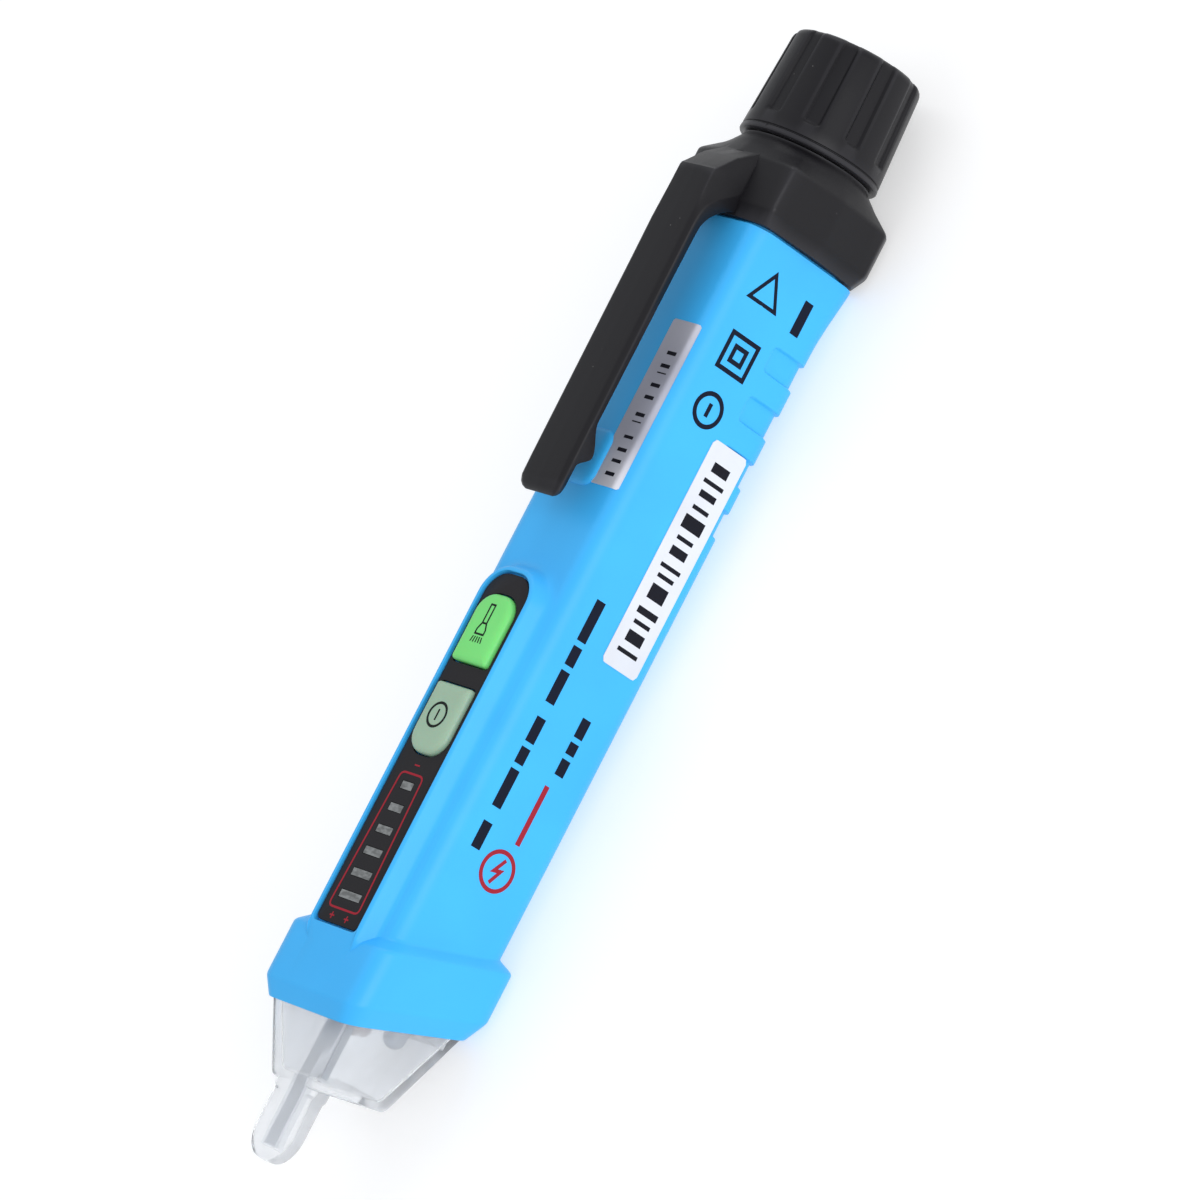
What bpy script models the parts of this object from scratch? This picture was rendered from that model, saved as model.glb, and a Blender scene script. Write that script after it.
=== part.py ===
"""Pen-shaped non contact voltage tester, lying with its control panel up.

+X runs from the probe tip to the tail knob, +Z is the panel and clip side, and the pen rests
on the flat backs of its front collar and its tail cap at z = 0. All sizes are in metres.
"""
import math

import bmesh
import bpy

# ---------------------------------------------------------------- clearances
CLEARANCE = 0.0003
BATTERY_CLEARANCE = 0.00045

# ---------------------------------------------------------------- power cells, which size the barrel
BATTERY_DIAMETER = 0.0105
BATTERY_LENGTH = 0.0445
BATTERY_NUB_DIAMETER = 0.0038
BATTERY_NUB_LENGTH = 0.0008
CARRIER_FLOOR = 0.00125
BOARD_THICKNESS = 0.0008
BOARD_HEADROOM = 0.0012
FRONT_BAY = 0.0091
REAR_SPACE = 0.0015

# ---------------------------------------------------------------- barrel, collar and console
BARREL_WALL = 0.0016
BARREL_CORNER = 0.003
COLLAR_STEP = 0.0015
COLLAR_LENGTH = 0.0106
COLLAR_FRONT_SLOPE = 0.262
COLLAR_BACK_SLOPE = 0.295
COLLAR_FRONT_CHAMFER = 0.0028
COLLAR_BACK_CHAMFER = 0.0013
COLLAR_LIP = 0.00125
SOCKET_DEPTH = 0.0060
FLARE_LENGTH = 0.009
FLARE_HEIGHT = 0.0011
SPIGOT_LENGTH = 0.0062
SPIGOT_STEP = 0.001
SEAL_WIDTH = 0.0011
SEAL_DEPTH = 0.0005
SEAL_PROUD = 0.0001
CONSOLE_HEIGHT = 0.0022
CONSOLE_TAIL_RIM = 0.0023
CONSOLE_BASE_HALF = 0.0062
CONSOLE_TOP_HALF = 0.0051
CONSOLE_WALL = 0.0011
CONSOLE_FRONT_RADIUS = 0.001
CONSOLE_ROUND = 0.9
PAD_HEIGHT = 0.0007
PAD_LENGTH = 0.0075
PAD_HALF = 0.0033
GRIP_COUNT = 4
GRIP_PITCH = 0.0069
GRIP_LENGTH = 0.0034
GRIP_DEPTH = 0.00055
GRIP_END_MARGIN = 0.0104
GRIP_TOP_DROP = 0.0019
GRIP_BACK_HALF = 0.0032

# ---------------------------------------------------------------- control panel
PANEL_HALF = 0.00425
PANEL_LEAD = 0.0002
PANEL_THICKNESS = 0.00045
PANEL_SINK = 0.0003
PANEL_END_RADIUS = 0.0036
PANEL_FRONT_RADIUS = 0.0008
BUTTON_HALF = 0.0035
BUTTON_LENGTH = 0.0094
BUTTON_END_RADIUS = 0.0028
BUTTON_PROUD = 0.0008
BUTTON_EDGE = 0.0005
BUTTON_TRAVEL = 0.0005
BUTTON_FLANGE = 0.0006
TORCH_BUTTON_INSET = 0.0030
BUTTON_GAP = 0.0031
LEVEL_COUNT = 6
LEVEL_PITCH = 0.00304
LEVEL_BAR_LENGTH = 0.001
LEVEL_LAMP_HEIGHT = 0.0006
LEVEL_WIDTH_SMALL = 0.0022
LEVEL_WIDTH_LARGE = 0.0042
LEVEL_START = 0.0039
LEVEL_END_GAP = 0.0044

# ---------------------------------------------------------------- clear nose and probe
PROBE_LENGTH = 0.009
PROBE_HALF = 0.004
PROBE_THICKNESS = 0.0036
PROBE_OFFSET = 0.0038
PROBE_WALL = 0.0018
PROBE_TIP_SHARE = 0.35
PROBE_EDGE_ROUND = 0.95
PROBE_TIP_TURNS = (90, 70, 50, 30, 15, 0)
NOSE_LENGTH = 0.0098
NOSE_WALL = 0.0013
NOSE_TIP_SIZE = 0.012
NOSE_TIP_CORNER = 0.0025
NOSE_TIP_SLOPE = 0.183
NOSE_TIP_EDGE = 0.0007
ANTENNA_HALF = 0.0011
ANTENNA_THICKNESS = 0.0006
LED_DIAMETER = 0.003
LED_SPREAD = 0.0036
LED_DROP = 0.0022
LED_DOME = ((0.1, 0.45), (0.4, 0.8), (1.0, 1.0))
LED_BODY_LENGTH = 0.0042
LED_RIM_LENGTH = 0.0009
LED_RIM = 0.0003

# ---------------------------------------------------------------- tail cap, clip and knob
TAIL_LENGTH = 0.0116
TAIL_NOSE_BEVEL = 0.0006
TAIL_BEVEL_LENGTH = 0.0020
TAIL_CONE_LENGTH = 0.0036
TAIL_NECK_RADIUS = 0.0088
TAIL_SIDE_BULGE = 0.00076
TAIL_TOP_BULGE = 0.0016
TAIL_WALL = 0.0012
TAIL_CONE_SHARE = 0.55
TAIL_CONE_BLEND = 0.65
CLIP_HALF = 0.0042
CLIP_FACE_HALF = 0.0034
CLIP_FOOT_HALF = 0.0038
CLIP_RISE = 0.01515
CLIP_TIP_RISE = 0.0147
CLIP_GAP = 0.0042
CLIP_CHAMFER = 0.00065
CLIP_LENGTH = 0.0415
CLIP_ROOT_RISE = 0.0010
CLIP_FILLET = 0.0040
CLIP_TIP_RADIUS = 0.0018
CLIP_RAMP_LENGTH = 0.0090
CLIP_SHELF_LENGTH = 0.0036
CLIP_FACE_SETBACK = 0.0002
CLIP_ROOT_TURNS = (0, 22, 45, 68, 90)
CLIP_TIP_STEPS = ((0.45, 0.25, 0.5, 0.0), (0.0, 0.7, 1.0, 0.33))
BEAD_DEPTH = 0.0017
BEAD_LENGTH = 0.0060
BEAD_HALF = 0.0036
BEAD_INSET = 0.0046
BEAD_FULLNESS = 0.8
BEAD_STEPS = 8
KNOB_LENGTH = 0.0145
KNOB_BASE_RADIUS = 0.00955
KNOB_END_RADIUS = 0.0088
KNOB_EDGE = 0.0009
KNOB_WALL = 0.0022
FLUTE_COUNT = 10
FLUTE_WIDTH = 0.0023
FLUTE_DEPTH = 0.00045
FLUTE_START = 0.0029
FLUTE_SIDE_SHARE = 0.12
KNOB_EDGE_STEPS = ((0.35, 0.3, 0.8), (0.0, 1.0, 0.5))
SHAFT_RADIUS = 0.003
SHAFT_CLEARANCE = 0.0002
SHAFT_SEAT = 0.0060
POT_RADIUS = 0.0052
POT_LENGTH = 0.0032
TAIL_BOARD_THICKNESS = 0.0008
SPRING_WIRE = 0.0005
SPRING_TURNS = 3.5
SPRING_LARGE_RADIUS = 0.0036
SPRING_SMALL_RADIUS = 0.0018

# ---------------------------------------------------------------- labels
LABEL_THICKNESS = 0.0001
SIDE_LABEL_LENGTH = 0.031
SIDE_LABEL_WIDTH = 0.0063
SIDE_LABEL_DROP = 0.00305
SIDE_LABEL_BACK_GAP = 0.0253
CORNER_LABEL_FRONT_GAP = 0.0121
CORNER_LABEL_BACK_GAP = 0.0143
CORNER_LABEL_INNER = 0.0023
CORNER_LABEL_TURN = 28

# ---------------------------------------------------------------- sizes worked out from the above
BARREL_SIZE = (2 * BARREL_WALL + CLEARANCE + CARRIER_FLOOR + CLEARANCE + BATTERY_DIAMETER
               + BATTERY_CLEARANCE + BOARD_THICKNESS + BOARD_HEADROOM)
COLLAR_SIZE = BARREL_SIZE + 2 * COLLAR_STEP
AXIS_Z = COLLAR_SIZE / 2
BARREL_HALF = BARREL_SIZE / 2
BARREL_BOTTOM = AXIS_Z - BARREL_HALF
BARREL_TOP = AXIS_Z + BARREL_HALF
CAVITY_HALF = BARREL_HALF - BARREL_WALL
CAVITY_FLOOR = BARREL_BOTTOM + BARREL_WALL
CAVITY_CEILING = BARREL_TOP - BARREL_WALL

CARRIER_BOTTOM = CAVITY_FLOOR + CLEARANCE
BATTERY_Z = CARRIER_BOTTOM + CARRIER_FLOOR + CLEARANCE + BATTERY_DIAMETER / 2
BOARD_BOTTOM = BATTERY_Z + BATTERY_DIAMETER / 2 + BATTERY_CLEARANCE
BOARD_TOP = BOARD_BOTTOM + BOARD_THICKNESS
COMPONENT_BASE = BOARD_TOP + CLEARANCE

NOSE_END_STATION = PROBE_LENGTH
COLLAR_STATION = NOSE_END_STATION + NOSE_LENGTH
BARREL_STATION = COLLAR_STATION + COLLAR_LENGTH
BATTERY_GAP = CLEARANCE
BATTERY_FRONT_STATION = BARREL_STATION + FRONT_BAY
BATTERY_END_STATION = BATTERY_FRONT_STATION + 2 * BATTERY_LENGTH + BATTERY_GAP
BARREL_END_STATION = BATTERY_END_STATION + REAR_SPACE
TAIL_STATION = BARREL_END_STATION + CLEARANCE
TAIL_END_STATION = TAIL_STATION + TAIL_LENGTH
KNOB_STATION = TAIL_END_STATION + CLEARANCE
LENGTH = KNOB_STATION + KNOB_LENGTH

CONSOLE_TOP = BARREL_TOP + CONSOLE_HEIGHT
PANEL_TOP = CONSOLE_TOP - PANEL_SINK
PANEL_BOTTOM = PANEL_TOP - PANEL_THICKNESS
RECESS_FLOOR = PANEL_BOTTOM - CLEARANCE
CONSOLE_CEILING = RECESS_FLOOR - CONSOLE_WALL
PANEL_STATION = BARREL_STATION - PANEL_LEAD
LEVEL_FIRST_STATION = PANEL_STATION + LEVEL_START
LEVEL_LAST_STATION = LEVEL_FIRST_STATION + (LEVEL_COUNT - 1) * LEVEL_PITCH
POWER_STATION = LEVEL_LAST_STATION + LEVEL_END_GAP
TORCH_STATION = POWER_STATION + BUTTON_LENGTH + BUTTON_GAP
PANEL_END_STATION = TORCH_STATION + BUTTON_LENGTH + TORCH_BUTTON_INSET
CONSOLE_END_STATION = PANEL_END_STATION + CONSOLE_TAIL_RIM
BUTTON_TOP = PANEL_TOP + BUTTON_PROUD
FLANGE_TOP = CONSOLE_CEILING - CLEARANCE
FLANGE_BOTTOM = FLANGE_TOP - BUTTON_FLANGE
SWITCH_TOP = FLANGE_BOTTOM - BUTTON_TRAVEL - CLEARANCE / 3

SPIGOT_HALF = BARREL_HALF - SPIGOT_STEP
TAIL_BORE_RADIUS = BATTERY_DIAMETER / 2 + CLEARANCE
TAIL_HALF = COLLAR_SIZE / 2

NOSE_BASE_HALF = COLLAR_SIZE / 2 - COLLAR_LIP
SOCKET_HALF = NOSE_BASE_HALF + CLEARANCE
PROBE_Z = AXIS_Z + PROBE_OFFSET


def at(station):
    """World x of a station, which is counted from the probe tip."""
    return station - LENGTH / 2


# ---------------------------------------------------------------- outlines
def rounded_rectangle(half_y, half_z, radius, centre_z, steps=4):
    """Cross-section outline: (y, z) points round a rectangle with round corners."""
    points = []
    for quarter, (side_y, side_z) in enumerate(((1, 1), (-1, 1), (-1, -1), (1, -1))):
        for step in range(steps + 1):
            angle = math.pi / 2 * (quarter + step / steps)
            points.append((side_y * (half_y - radius) + radius * math.cos(angle),
                           centre_z + side_z * (half_z - radius) + radius * math.sin(angle)))
    return points


def circle(radius, centre_z, steps=24):
    """Cross-section outline of a circle centred over the pen's axis plane."""
    return [(radius * math.cos(2 * math.pi * step / steps),
             centre_z + radius * math.sin(2 * math.pi * step / steps)) for step in range(steps)]


def plan_outline(x_front, x_back, half_y, front_radius, back_radius, steps=5):
    """Plan outline: (x, y) points of a strip with its own corner radius at each end."""
    points = []
    corners = ((x_back, 1, back_radius, 0), (x_front, 1, front_radius, 1),
               (x_front, -1, front_radius, 2), (x_back, -1, back_radius, 3))
    for x_end, side, radius, quarter in corners:
        x_centre = x_end + (radius if x_end == x_front else -radius)
        for step in range(steps + 1):
            angle = math.pi / 2 * (quarter + step / steps)
            points.append((x_centre + radius * math.cos(angle),
                           side * (half_y - radius) + radius * math.sin(angle)))
    return points


# ---------------------------------------------------------------- meshes
def loft(rings):
    """Closed solid through rings of equal length, capped at both ends."""
    mesh = bmesh.new()
    loops = [[mesh.verts.new(point) for point in ring] for ring in rings]
    for first, second in zip(loops, loops[1:]):
        for index in range(len(first)):
            following = (index + 1) % len(first)
            mesh.faces.new((first[index], first[following], second[following], second[index]))
    mesh.faces.new(loops[0])
    mesh.faces.new(list(reversed(loops[-1])))
    bmesh.ops.recalc_face_normals(mesh, faces=mesh.faces)
    return mesh


def section(outline, x):
    """Ring of an outline on the plane at x."""
    return [(x, y, z) for y, z in outline]


def slanted(outline, station, slope, z_top):
    """Ring of an outline on a plane that leans towards the tail below z_top."""
    return [(at(station) + slope * (z_top - z), y, z) for y, z in outline]


def bar(outline, x_front, x_back):
    """Straight solid with one cross-section."""
    return loft([section(outline, x_front), section(outline, x_back)])


def slab(outline, z_low, z_high, taper=None):
    """Upright solid with one plan outline, or with another outline at its top."""
    low = [(x, y, z_low) for x, y in outline]
    high = [(x, y, z_high) for x, y in (taper or outline)]
    return loft([low, high])


def box(x_front, x_back, y_low, y_high, z_low, z_high):
    """Rectangular solid."""
    return slab([(x_back, y_high), (x_front, y_high), (x_front, y_low), (x_back, y_low)], z_low, z_high)


def turned(profile, centre_z, steps=24):
    """Round solid about an axis along X from (x, radius) pairs."""
    return loft([section(circle(radius, centre_z, steps), x) for x, radius in profile])


def joined(meshes):
    """Several closed solids, clear of each other, in one mesh."""
    result = bmesh.new()
    for mesh in meshes:
        copy = bpy.data.meshes.new("copy")
        mesh.to_mesh(copy)
        result.from_mesh(copy)
        bpy.data.meshes.remove(copy)
        mesh.free()
    return result


# ---------------------------------------------------------------- objects
def add_object(name, mesh, origin=(0.0, 0.0, 0.0), parent=None):
    """Object whose own origin is at origin, with the mesh left where it was made."""
    bmesh.ops.translate(mesh, verts=mesh.verts, vec=[-value for value in origin])
    data = bpy.data.meshes.new(name)
    mesh.to_mesh(data)
    mesh.free()
    item = bpy.data.objects.new(name, data)
    bpy.context.scene.collection.objects.link(item)
    item.location = origin
    if parent is not None:
        item.parent = parent
        item.location = [value - base for value, base in zip(origin, parent.location)]
    return item


def piece(name, mesh, colour, roughness, metallic=0.0, origin=(0.0, 0.0, 0.0), parent=None):
    """Named sub-part with its own material, smooth where its faces meet at small angles."""
    item = add_object(name, mesh, origin, parent)
    item.data.shade_smooth()
    item.data.set_sharp_from_angle(angle=math.radians(32))
    material = bpy.data.materials.new(name + "_finish")
    material.use_nodes = True
    shader = material.node_tree.nodes["Principled BSDF"]
    shader.inputs["Base Color"].default_value = (*colour, 1.0)
    shader.inputs["Roughness"].default_value = roughness
    shader.inputs["Metallic"].default_value = metallic
    item.data.materials.append(material)
    return item


def combine(item, name, mesh, operation):
    """Boolean of an object with a helper solid, which is left as a wire guide."""
    helper = add_object("helper_" + name, mesh)
    helper.hide_render = True
    helper.display_type = "WIRE"
    modifier = item.modifiers.new(name, "BOOLEAN")
    modifier.operation = operation
    modifier.solver = "EXACT"
    modifier.object = helper


def cut(item, name, mesh):
    combine(item, name, mesh, "DIFFERENCE")


def fuse(item, name, mesh):
    combine(item, name, mesh, "UNION")


# ---------------------------------------------------------------- the barrel's outer skin
def skin_point(distance):
    """Point and outward normal on the barrel's section on the +Y side.

    Distance runs along the skin from the middle of the top face, round the upper corner,
    down the side and round the lower corner to the back face.
    """
    flat = BARREL_HALF - BARREL_CORNER
    quarter = math.pi / 2 * BARREL_CORNER
    if distance < flat:
        return (distance, BARREL_HALF), (0.0, 1.0)
    distance -= flat
    if distance < quarter:
        turn = distance / BARREL_CORNER
        normal = (math.sin(turn), math.cos(turn))
        return tuple(flat + BARREL_CORNER * part for part in normal), normal
    distance -= quarter
    if distance < 2 * flat:
        return (BARREL_HALF, flat - distance), (1.0, 0.0)
    distance -= 2 * flat
    if distance < quarter:
        turn = distance / BARREL_CORNER
        normal = (math.cos(turn), -math.sin(turn))
        return (flat + BARREL_CORNER * normal[0], -flat + BARREL_CORNER * normal[1]), normal
    distance -= quarter
    return (flat - distance, -BARREL_HALF), (0.0, -1.0)


def skin_strip(start, end, low, high, side, steps=10):
    """Cross-section of a strip that follows the barrel's skin between two distances."""
    places = [skin_point(start + (end - start) * step / steps) for step in range(steps + 1)]
    outer = [(side * (y + high * ny), AXIS_Z + z + high * nz) for (y, z), (ny, nz) in places]
    inner = [(side * (y + low * ny), AXIS_Z + z + low * nz) for (y, z), (ny, nz) in places]
    return outer + list(reversed(inner))


def skin_distance_at_side(drop):
    """Distance along the skin of the point on the side face that lies drop below the axis."""
    return BARREL_HALF - BARREL_CORNER + math.pi / 2 * BARREL_CORNER + BARREL_HALF - BARREL_CORNER + drop


def skin_distance_at_back(half_y):
    """Distance along the skin of the point on the back face at half_y from its middle."""
    return 4 * (BARREL_HALF - BARREL_CORNER) + math.pi * BARREL_CORNER - half_y


# ---------------------------------------------------------------- barrel
def barrel_outer():
    """Collar, square barrel, flared end and the spigot that the tail cap slides on."""
    collar_half = COLLAR_SIZE / 2
    chamfered = collar_half - COLLAR_LIP
    collar = rounded_rectangle(collar_half, collar_half, BARREL_CORNER, AXIS_Z)
    collar_front = rounded_rectangle(chamfered, chamfered, BARREL_CORNER - COLLAR_LIP / 2, AXIS_Z)
    square = rounded_rectangle(BARREL_HALF, BARREL_HALF, BARREL_CORNER, AXIS_Z)
    spigot = rounded_rectangle(SPIGOT_HALF, SPIGOT_HALF, BARREL_CORNER - SPIGOT_STEP / 2, AXIS_Z)
    flared = [(y, z - FLARE_HEIGHT if z < AXIS_Z - BARREL_HALF + BARREL_CORNER else z) for y, z in square]
    back_station = BARREL_STATION - COLLAR_BACK_CHAMFER
    flare_start = BARREL_END_STATION - FLARE_LENGTH
    return loft([
        slanted(collar_front, COLLAR_STATION, COLLAR_FRONT_SLOPE, COLLAR_SIZE),
        slanted(collar, COLLAR_STATION + COLLAR_FRONT_CHAMFER, COLLAR_FRONT_SLOPE, COLLAR_SIZE),
        slanted(collar, back_station, COLLAR_BACK_SLOPE, COLLAR_SIZE),
        slanted(square, BARREL_STATION, COLLAR_BACK_SLOPE, COLLAR_SIZE),
        section(square, at(flare_start)),
        section(flared, at(BARREL_END_STATION)),
        section(spigot, at(BARREL_END_STATION)),
        section(spigot, at(BARREL_END_STATION + SPIGOT_LENGTH)),
    ])


def console_block(base_half, top_half, z_low, z_high):
    """Raised console on the barrel's top face, round at its tail end."""
    x_front = at(COLLAR_STATION + COLLAR_LENGTH / 2)
    x_back = at(CONSOLE_END_STATION)
    inset = base_half - top_half
    base = plan_outline(x_front, x_back, base_half, CONSOLE_FRONT_RADIUS, base_half * CONSOLE_ROUND)
    top = plan_outline(x_front, x_back - inset, top_half, CONSOLE_FRONT_RADIUS, top_half * CONSOLE_ROUND)
    return slab(base, z_low, z_high, top)


def make_barrel():
    item = piece("barrel", barrel_outer(), (0.10, 0.50, 0.93), 0.42)
    sunk = BARREL_TOP - BARREL_WALL / 2
    slope = (CONSOLE_BASE_HALF - CONSOLE_TOP_HALF) / CONSOLE_HEIGHT
    sunk_half = CONSOLE_BASE_HALF + slope * (BARREL_TOP - sunk)
    fuse(item, "console", console_block(sunk_half, CONSOLE_TOP_HALF, sunk, CONSOLE_TOP))
    bead_station = TAIL_STATION - CLIP_LENGTH + BEAD_INSET + BEAD_LENGTH / 2
    pad = plan_outline(at(bead_station - PAD_LENGTH / 2), at(bead_station + PAD_LENGTH / 2),
                       PAD_HALF, PAD_HALF / 3, PAD_HALF / 3)
    fuse(item, "clip_pad", slab(pad, sunk, BARREL_TOP + PAD_HEIGHT))
    cut_hollows(item)
    cut_panel_seat(item)
    cut_grips(item)
    cut_label_seats(item)
    return item


def cut_hollows(item):
    """Nose socket, battery and board cavity, and the bore that the batteries leave by."""
    socket = rounded_rectangle(SOCKET_HALF, SOCKET_HALF, BARREL_CORNER, AXIS_Z)
    cut(item, "nose_socket", loft([
        slanted(socket, COLLAR_STATION - 2 * COLLAR_FRONT_CHAMFER, COLLAR_FRONT_SLOPE, COLLAR_SIZE),
        slanted(socket, COLLAR_STATION + SOCKET_DEPTH, COLLAR_FRONT_SLOPE, COLLAR_SIZE)]))
    cavity = rounded_rectangle(CAVITY_HALF, CAVITY_HALF, BARREL_CORNER / 2, AXIS_Z)
    cut(item, "cavity", bar(cavity, at(COLLAR_STATION + SOCKET_DEPTH / 2), at(BARREL_END_STATION - REAR_SPACE)))
    bore_front = at(BATTERY_END_STATION - REAR_SPACE)
    bore_back = at(BARREL_END_STATION + 2 * SPIGOT_LENGTH)
    cut(item, "battery_bore", bar(circle(TAIL_BORE_RADIUS, BATTERY_Z, 32), bore_front, bore_back))
    cut(item, "console_cavity", box(at(BARREL_STATION + BARREL_WALL), at(PANEL_END_STATION - BARREL_WALL),
                                    -BUTTON_HALF - 3 * CLEARANCE, BUTTON_HALF + 3 * CLEARANCE,
                                    CAVITY_CEILING - BARREL_WALL, CONSOLE_CEILING))


def cut_panel_seat(item):
    """Sunk seat of the panel, the two button holes and the slot of the level light guide."""
    seat = plan_outline(at(PANEL_STATION) - CLEARANCE, at(PANEL_END_STATION) + CLEARANCE,
                        PANEL_HALF + CLEARANCE, PANEL_FRONT_RADIUS, PANEL_END_RADIUS)
    cut(item, "panel_seat", slab(seat, RECESS_FLOOR, CONSOLE_TOP + CONSOLE_HEIGHT))
    for name in BUTTONS:
        outline = button_outline(name, CLEARANCE)
        cut(item, name + "_hole", slab(outline, CAVITY_CEILING, CONSOLE_TOP))
    half = LEVEL_WIDTH_LARGE / 2 + CLEARANCE
    margin = LEVEL_BAR_LENGTH / 2 + CLEARANCE
    cut(item, "level_slot", box(at(LEVEL_FIRST_STATION - margin), at(LEVEL_LAST_STATION + margin),
                                -half, half, CAVITY_CEILING, CONSOLE_TOP))


def cut_grips(item):
    """Rows of shallow finger pockets round the two back corners."""
    start = skin_distance_at_side(GRIP_TOP_DROP)
    end = skin_distance_at_back(GRIP_BACK_HALF)
    pockets = []
    for index in range(GRIP_COUNT):
        middle = at(BARREL_END_STATION - GRIP_END_MARGIN - GRIP_LENGTH / 2 - index * GRIP_PITCH)
        for side in (1, -1):
            outline = skin_strip(start, end, -GRIP_DEPTH, GRIP_DEPTH, side)
            pockets.append(bar(outline, middle - GRIP_LENGTH / 2, middle + GRIP_LENGTH / 2))
    cut(item, "finger_pockets", joined(pockets))


def cut_label_seats(item):
    """Shallow seats that the two stuck-on labels lie in."""
    x_front, x_back, outline = side_label_shape(-CLEARANCE, BARREL_WALL, CLEARANCE)
    cut(item, "side_label_seat", bar(outline, x_front, x_back))
    x_front, x_back, outline = corner_label_shape(-CLEARANCE, BARREL_WALL, CLEARANCE)
    cut(item, "corner_label_seat", bar(outline, x_front, x_back))


# ---------------------------------------------------------------- labels
def side_label_shape(low, high, margin):
    """White label low on the -Y side face."""
    start = skin_distance_at_side(SIDE_LABEL_DROP - SIDE_LABEL_WIDTH / 2) - margin
    end = skin_distance_at_side(SIDE_LABEL_DROP + SIDE_LABEL_WIDTH / 2) + margin
    x_back = at(BARREL_END_STATION - SIDE_LABEL_BACK_GAP)
    return x_back - SIDE_LABEL_LENGTH - margin, x_back + margin, skin_strip(start, end, low, high, -1)


def corner_label_shape(low, high, margin):
    """Silver label beside the clip, turned a little over the barrel's upper corner."""
    start = CORNER_LABEL_INNER - margin
    end = BARREL_HALF - BARREL_CORNER + math.radians(CORNER_LABEL_TURN) * BARREL_CORNER + margin
    x_front = at(CONSOLE_END_STATION + CORNER_LABEL_FRONT_GAP)
    x_back = at(BARREL_END_STATION - CORNER_LABEL_BACK_GAP)
    return x_front - margin, x_back + margin, skin_strip(start, end, low, high, -1)


def make_labels():
    x_front, x_back, outline = side_label_shape(0.0, LABEL_THICKNESS, 0.0)
    piece("side_label", bar(outline, x_front, x_back), (0.85, 0.87, 0.91), 0.5)
    x_front, x_back, outline = corner_label_shape(0.0, LABEL_THICKNESS, 0.0)
    piece("corner_label", bar(outline, x_front, x_back), (0.78, 0.79, 0.86), 0.3)


# ---------------------------------------------------------------- clear nose, antenna and lamps
def probe_blade(half, thickness, x_tip, x_root, centre_z):
    """Blade with a round end in plan and fully round edges."""
    rings = []
    for turn in PROBE_TIP_TURNS:
        reach = math.sin(math.radians(turn))
        share = math.cos(math.radians(turn))
        ring_half = half * (PROBE_TIP_SHARE + (1 - PROBE_TIP_SHARE) * share)
        ring_thick = thickness / 2 * (PROBE_TIP_SHARE + (1 - PROBE_TIP_SHARE) * math.sqrt(share))
        corner = min(ring_half, ring_thick) * PROBE_EDGE_ROUND
        outline = rounded_rectangle(ring_half, ring_thick, corner, centre_z)
        rings.append(section(outline, x_tip + half * (1 - reach)))
    root = rounded_rectangle(half, thickness / 2, thickness / 2 * PROBE_EDGE_ROUND, centre_z)
    rings.append(section(root, x_root))
    return loft(rings)


def make_nose():
    """Clear nose cone with its probe blade; the hollow inside is open at the collar."""
    base = rounded_rectangle(NOSE_BASE_HALF, NOSE_BASE_HALF, BARREL_CORNER - CLEARANCE, AXIS_Z)
    tip_half = NOSE_TIP_SIZE / 2
    tip = rounded_rectangle(tip_half, tip_half, NOSE_TIP_CORNER, AXIS_Z)
    edge_half = tip_half - NOSE_TIP_EDGE
    edge = rounded_rectangle(edge_half, edge_half, NOSE_TIP_CORNER - NOSE_TIP_EDGE / 2, AXIS_Z)
    tip_top = AXIS_Z + tip_half
    root_station = COLLAR_STATION + SOCKET_DEPTH - CLEARANCE
    item = piece("nose_cone", loft([
        slanted(edge, NOSE_END_STATION, NOSE_TIP_SLOPE, tip_top),
        slanted(tip, NOSE_END_STATION + NOSE_TIP_EDGE, NOSE_TIP_SLOPE, tip_top),
        slanted(base, COLLAR_STATION, COLLAR_FRONT_SLOPE, COLLAR_SIZE),
        slanted(base, root_station, COLLAR_FRONT_SLOPE, COLLAR_SIZE)]), (0.86, 0.88, 0.92), 0.08)
    blade_root = at(NOSE_END_STATION + NOSE_TIP_EDGE + NOSE_WALL)
    fuse(item, "probe_blade", probe_blade(PROBE_HALF, PROBE_THICKNESS, at(0), blade_root, PROBE_Z))
    inner_base_half = NOSE_BASE_HALF - NOSE_WALL
    inner_tip_half = tip_half - NOSE_WALL
    inner_base = rounded_rectangle(inner_base_half, inner_base_half, BARREL_CORNER - NOSE_WALL, AXIS_Z)
    inner_tip = rounded_rectangle(inner_tip_half, inner_tip_half, NOSE_TIP_CORNER - NOSE_WALL, AXIS_Z)
    cut(item, "nose_hollow", loft([
        slanted(inner_tip, NOSE_END_STATION + NOSE_WALL, NOSE_TIP_SLOPE, tip_top),
        slanted(inner_base, COLLAR_STATION, COLLAR_FRONT_SLOPE, COLLAR_SIZE),
        slanted(inner_base, root_station + SOCKET_DEPTH, COLLAR_FRONT_SLOPE, COLLAR_SIZE)]))
    bore = rounded_rectangle(ANTENNA_HALF + CLEARANCE, ANTENNA_THICKNESS / 2 + CLEARANCE, CLEARANCE, PROBE_Z, 2)
    cut(item, "antenna_bore", bar(bore, at(PROBE_WALL), at(NOSE_END_STATION + 2 * NOSE_WALL)))


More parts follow.
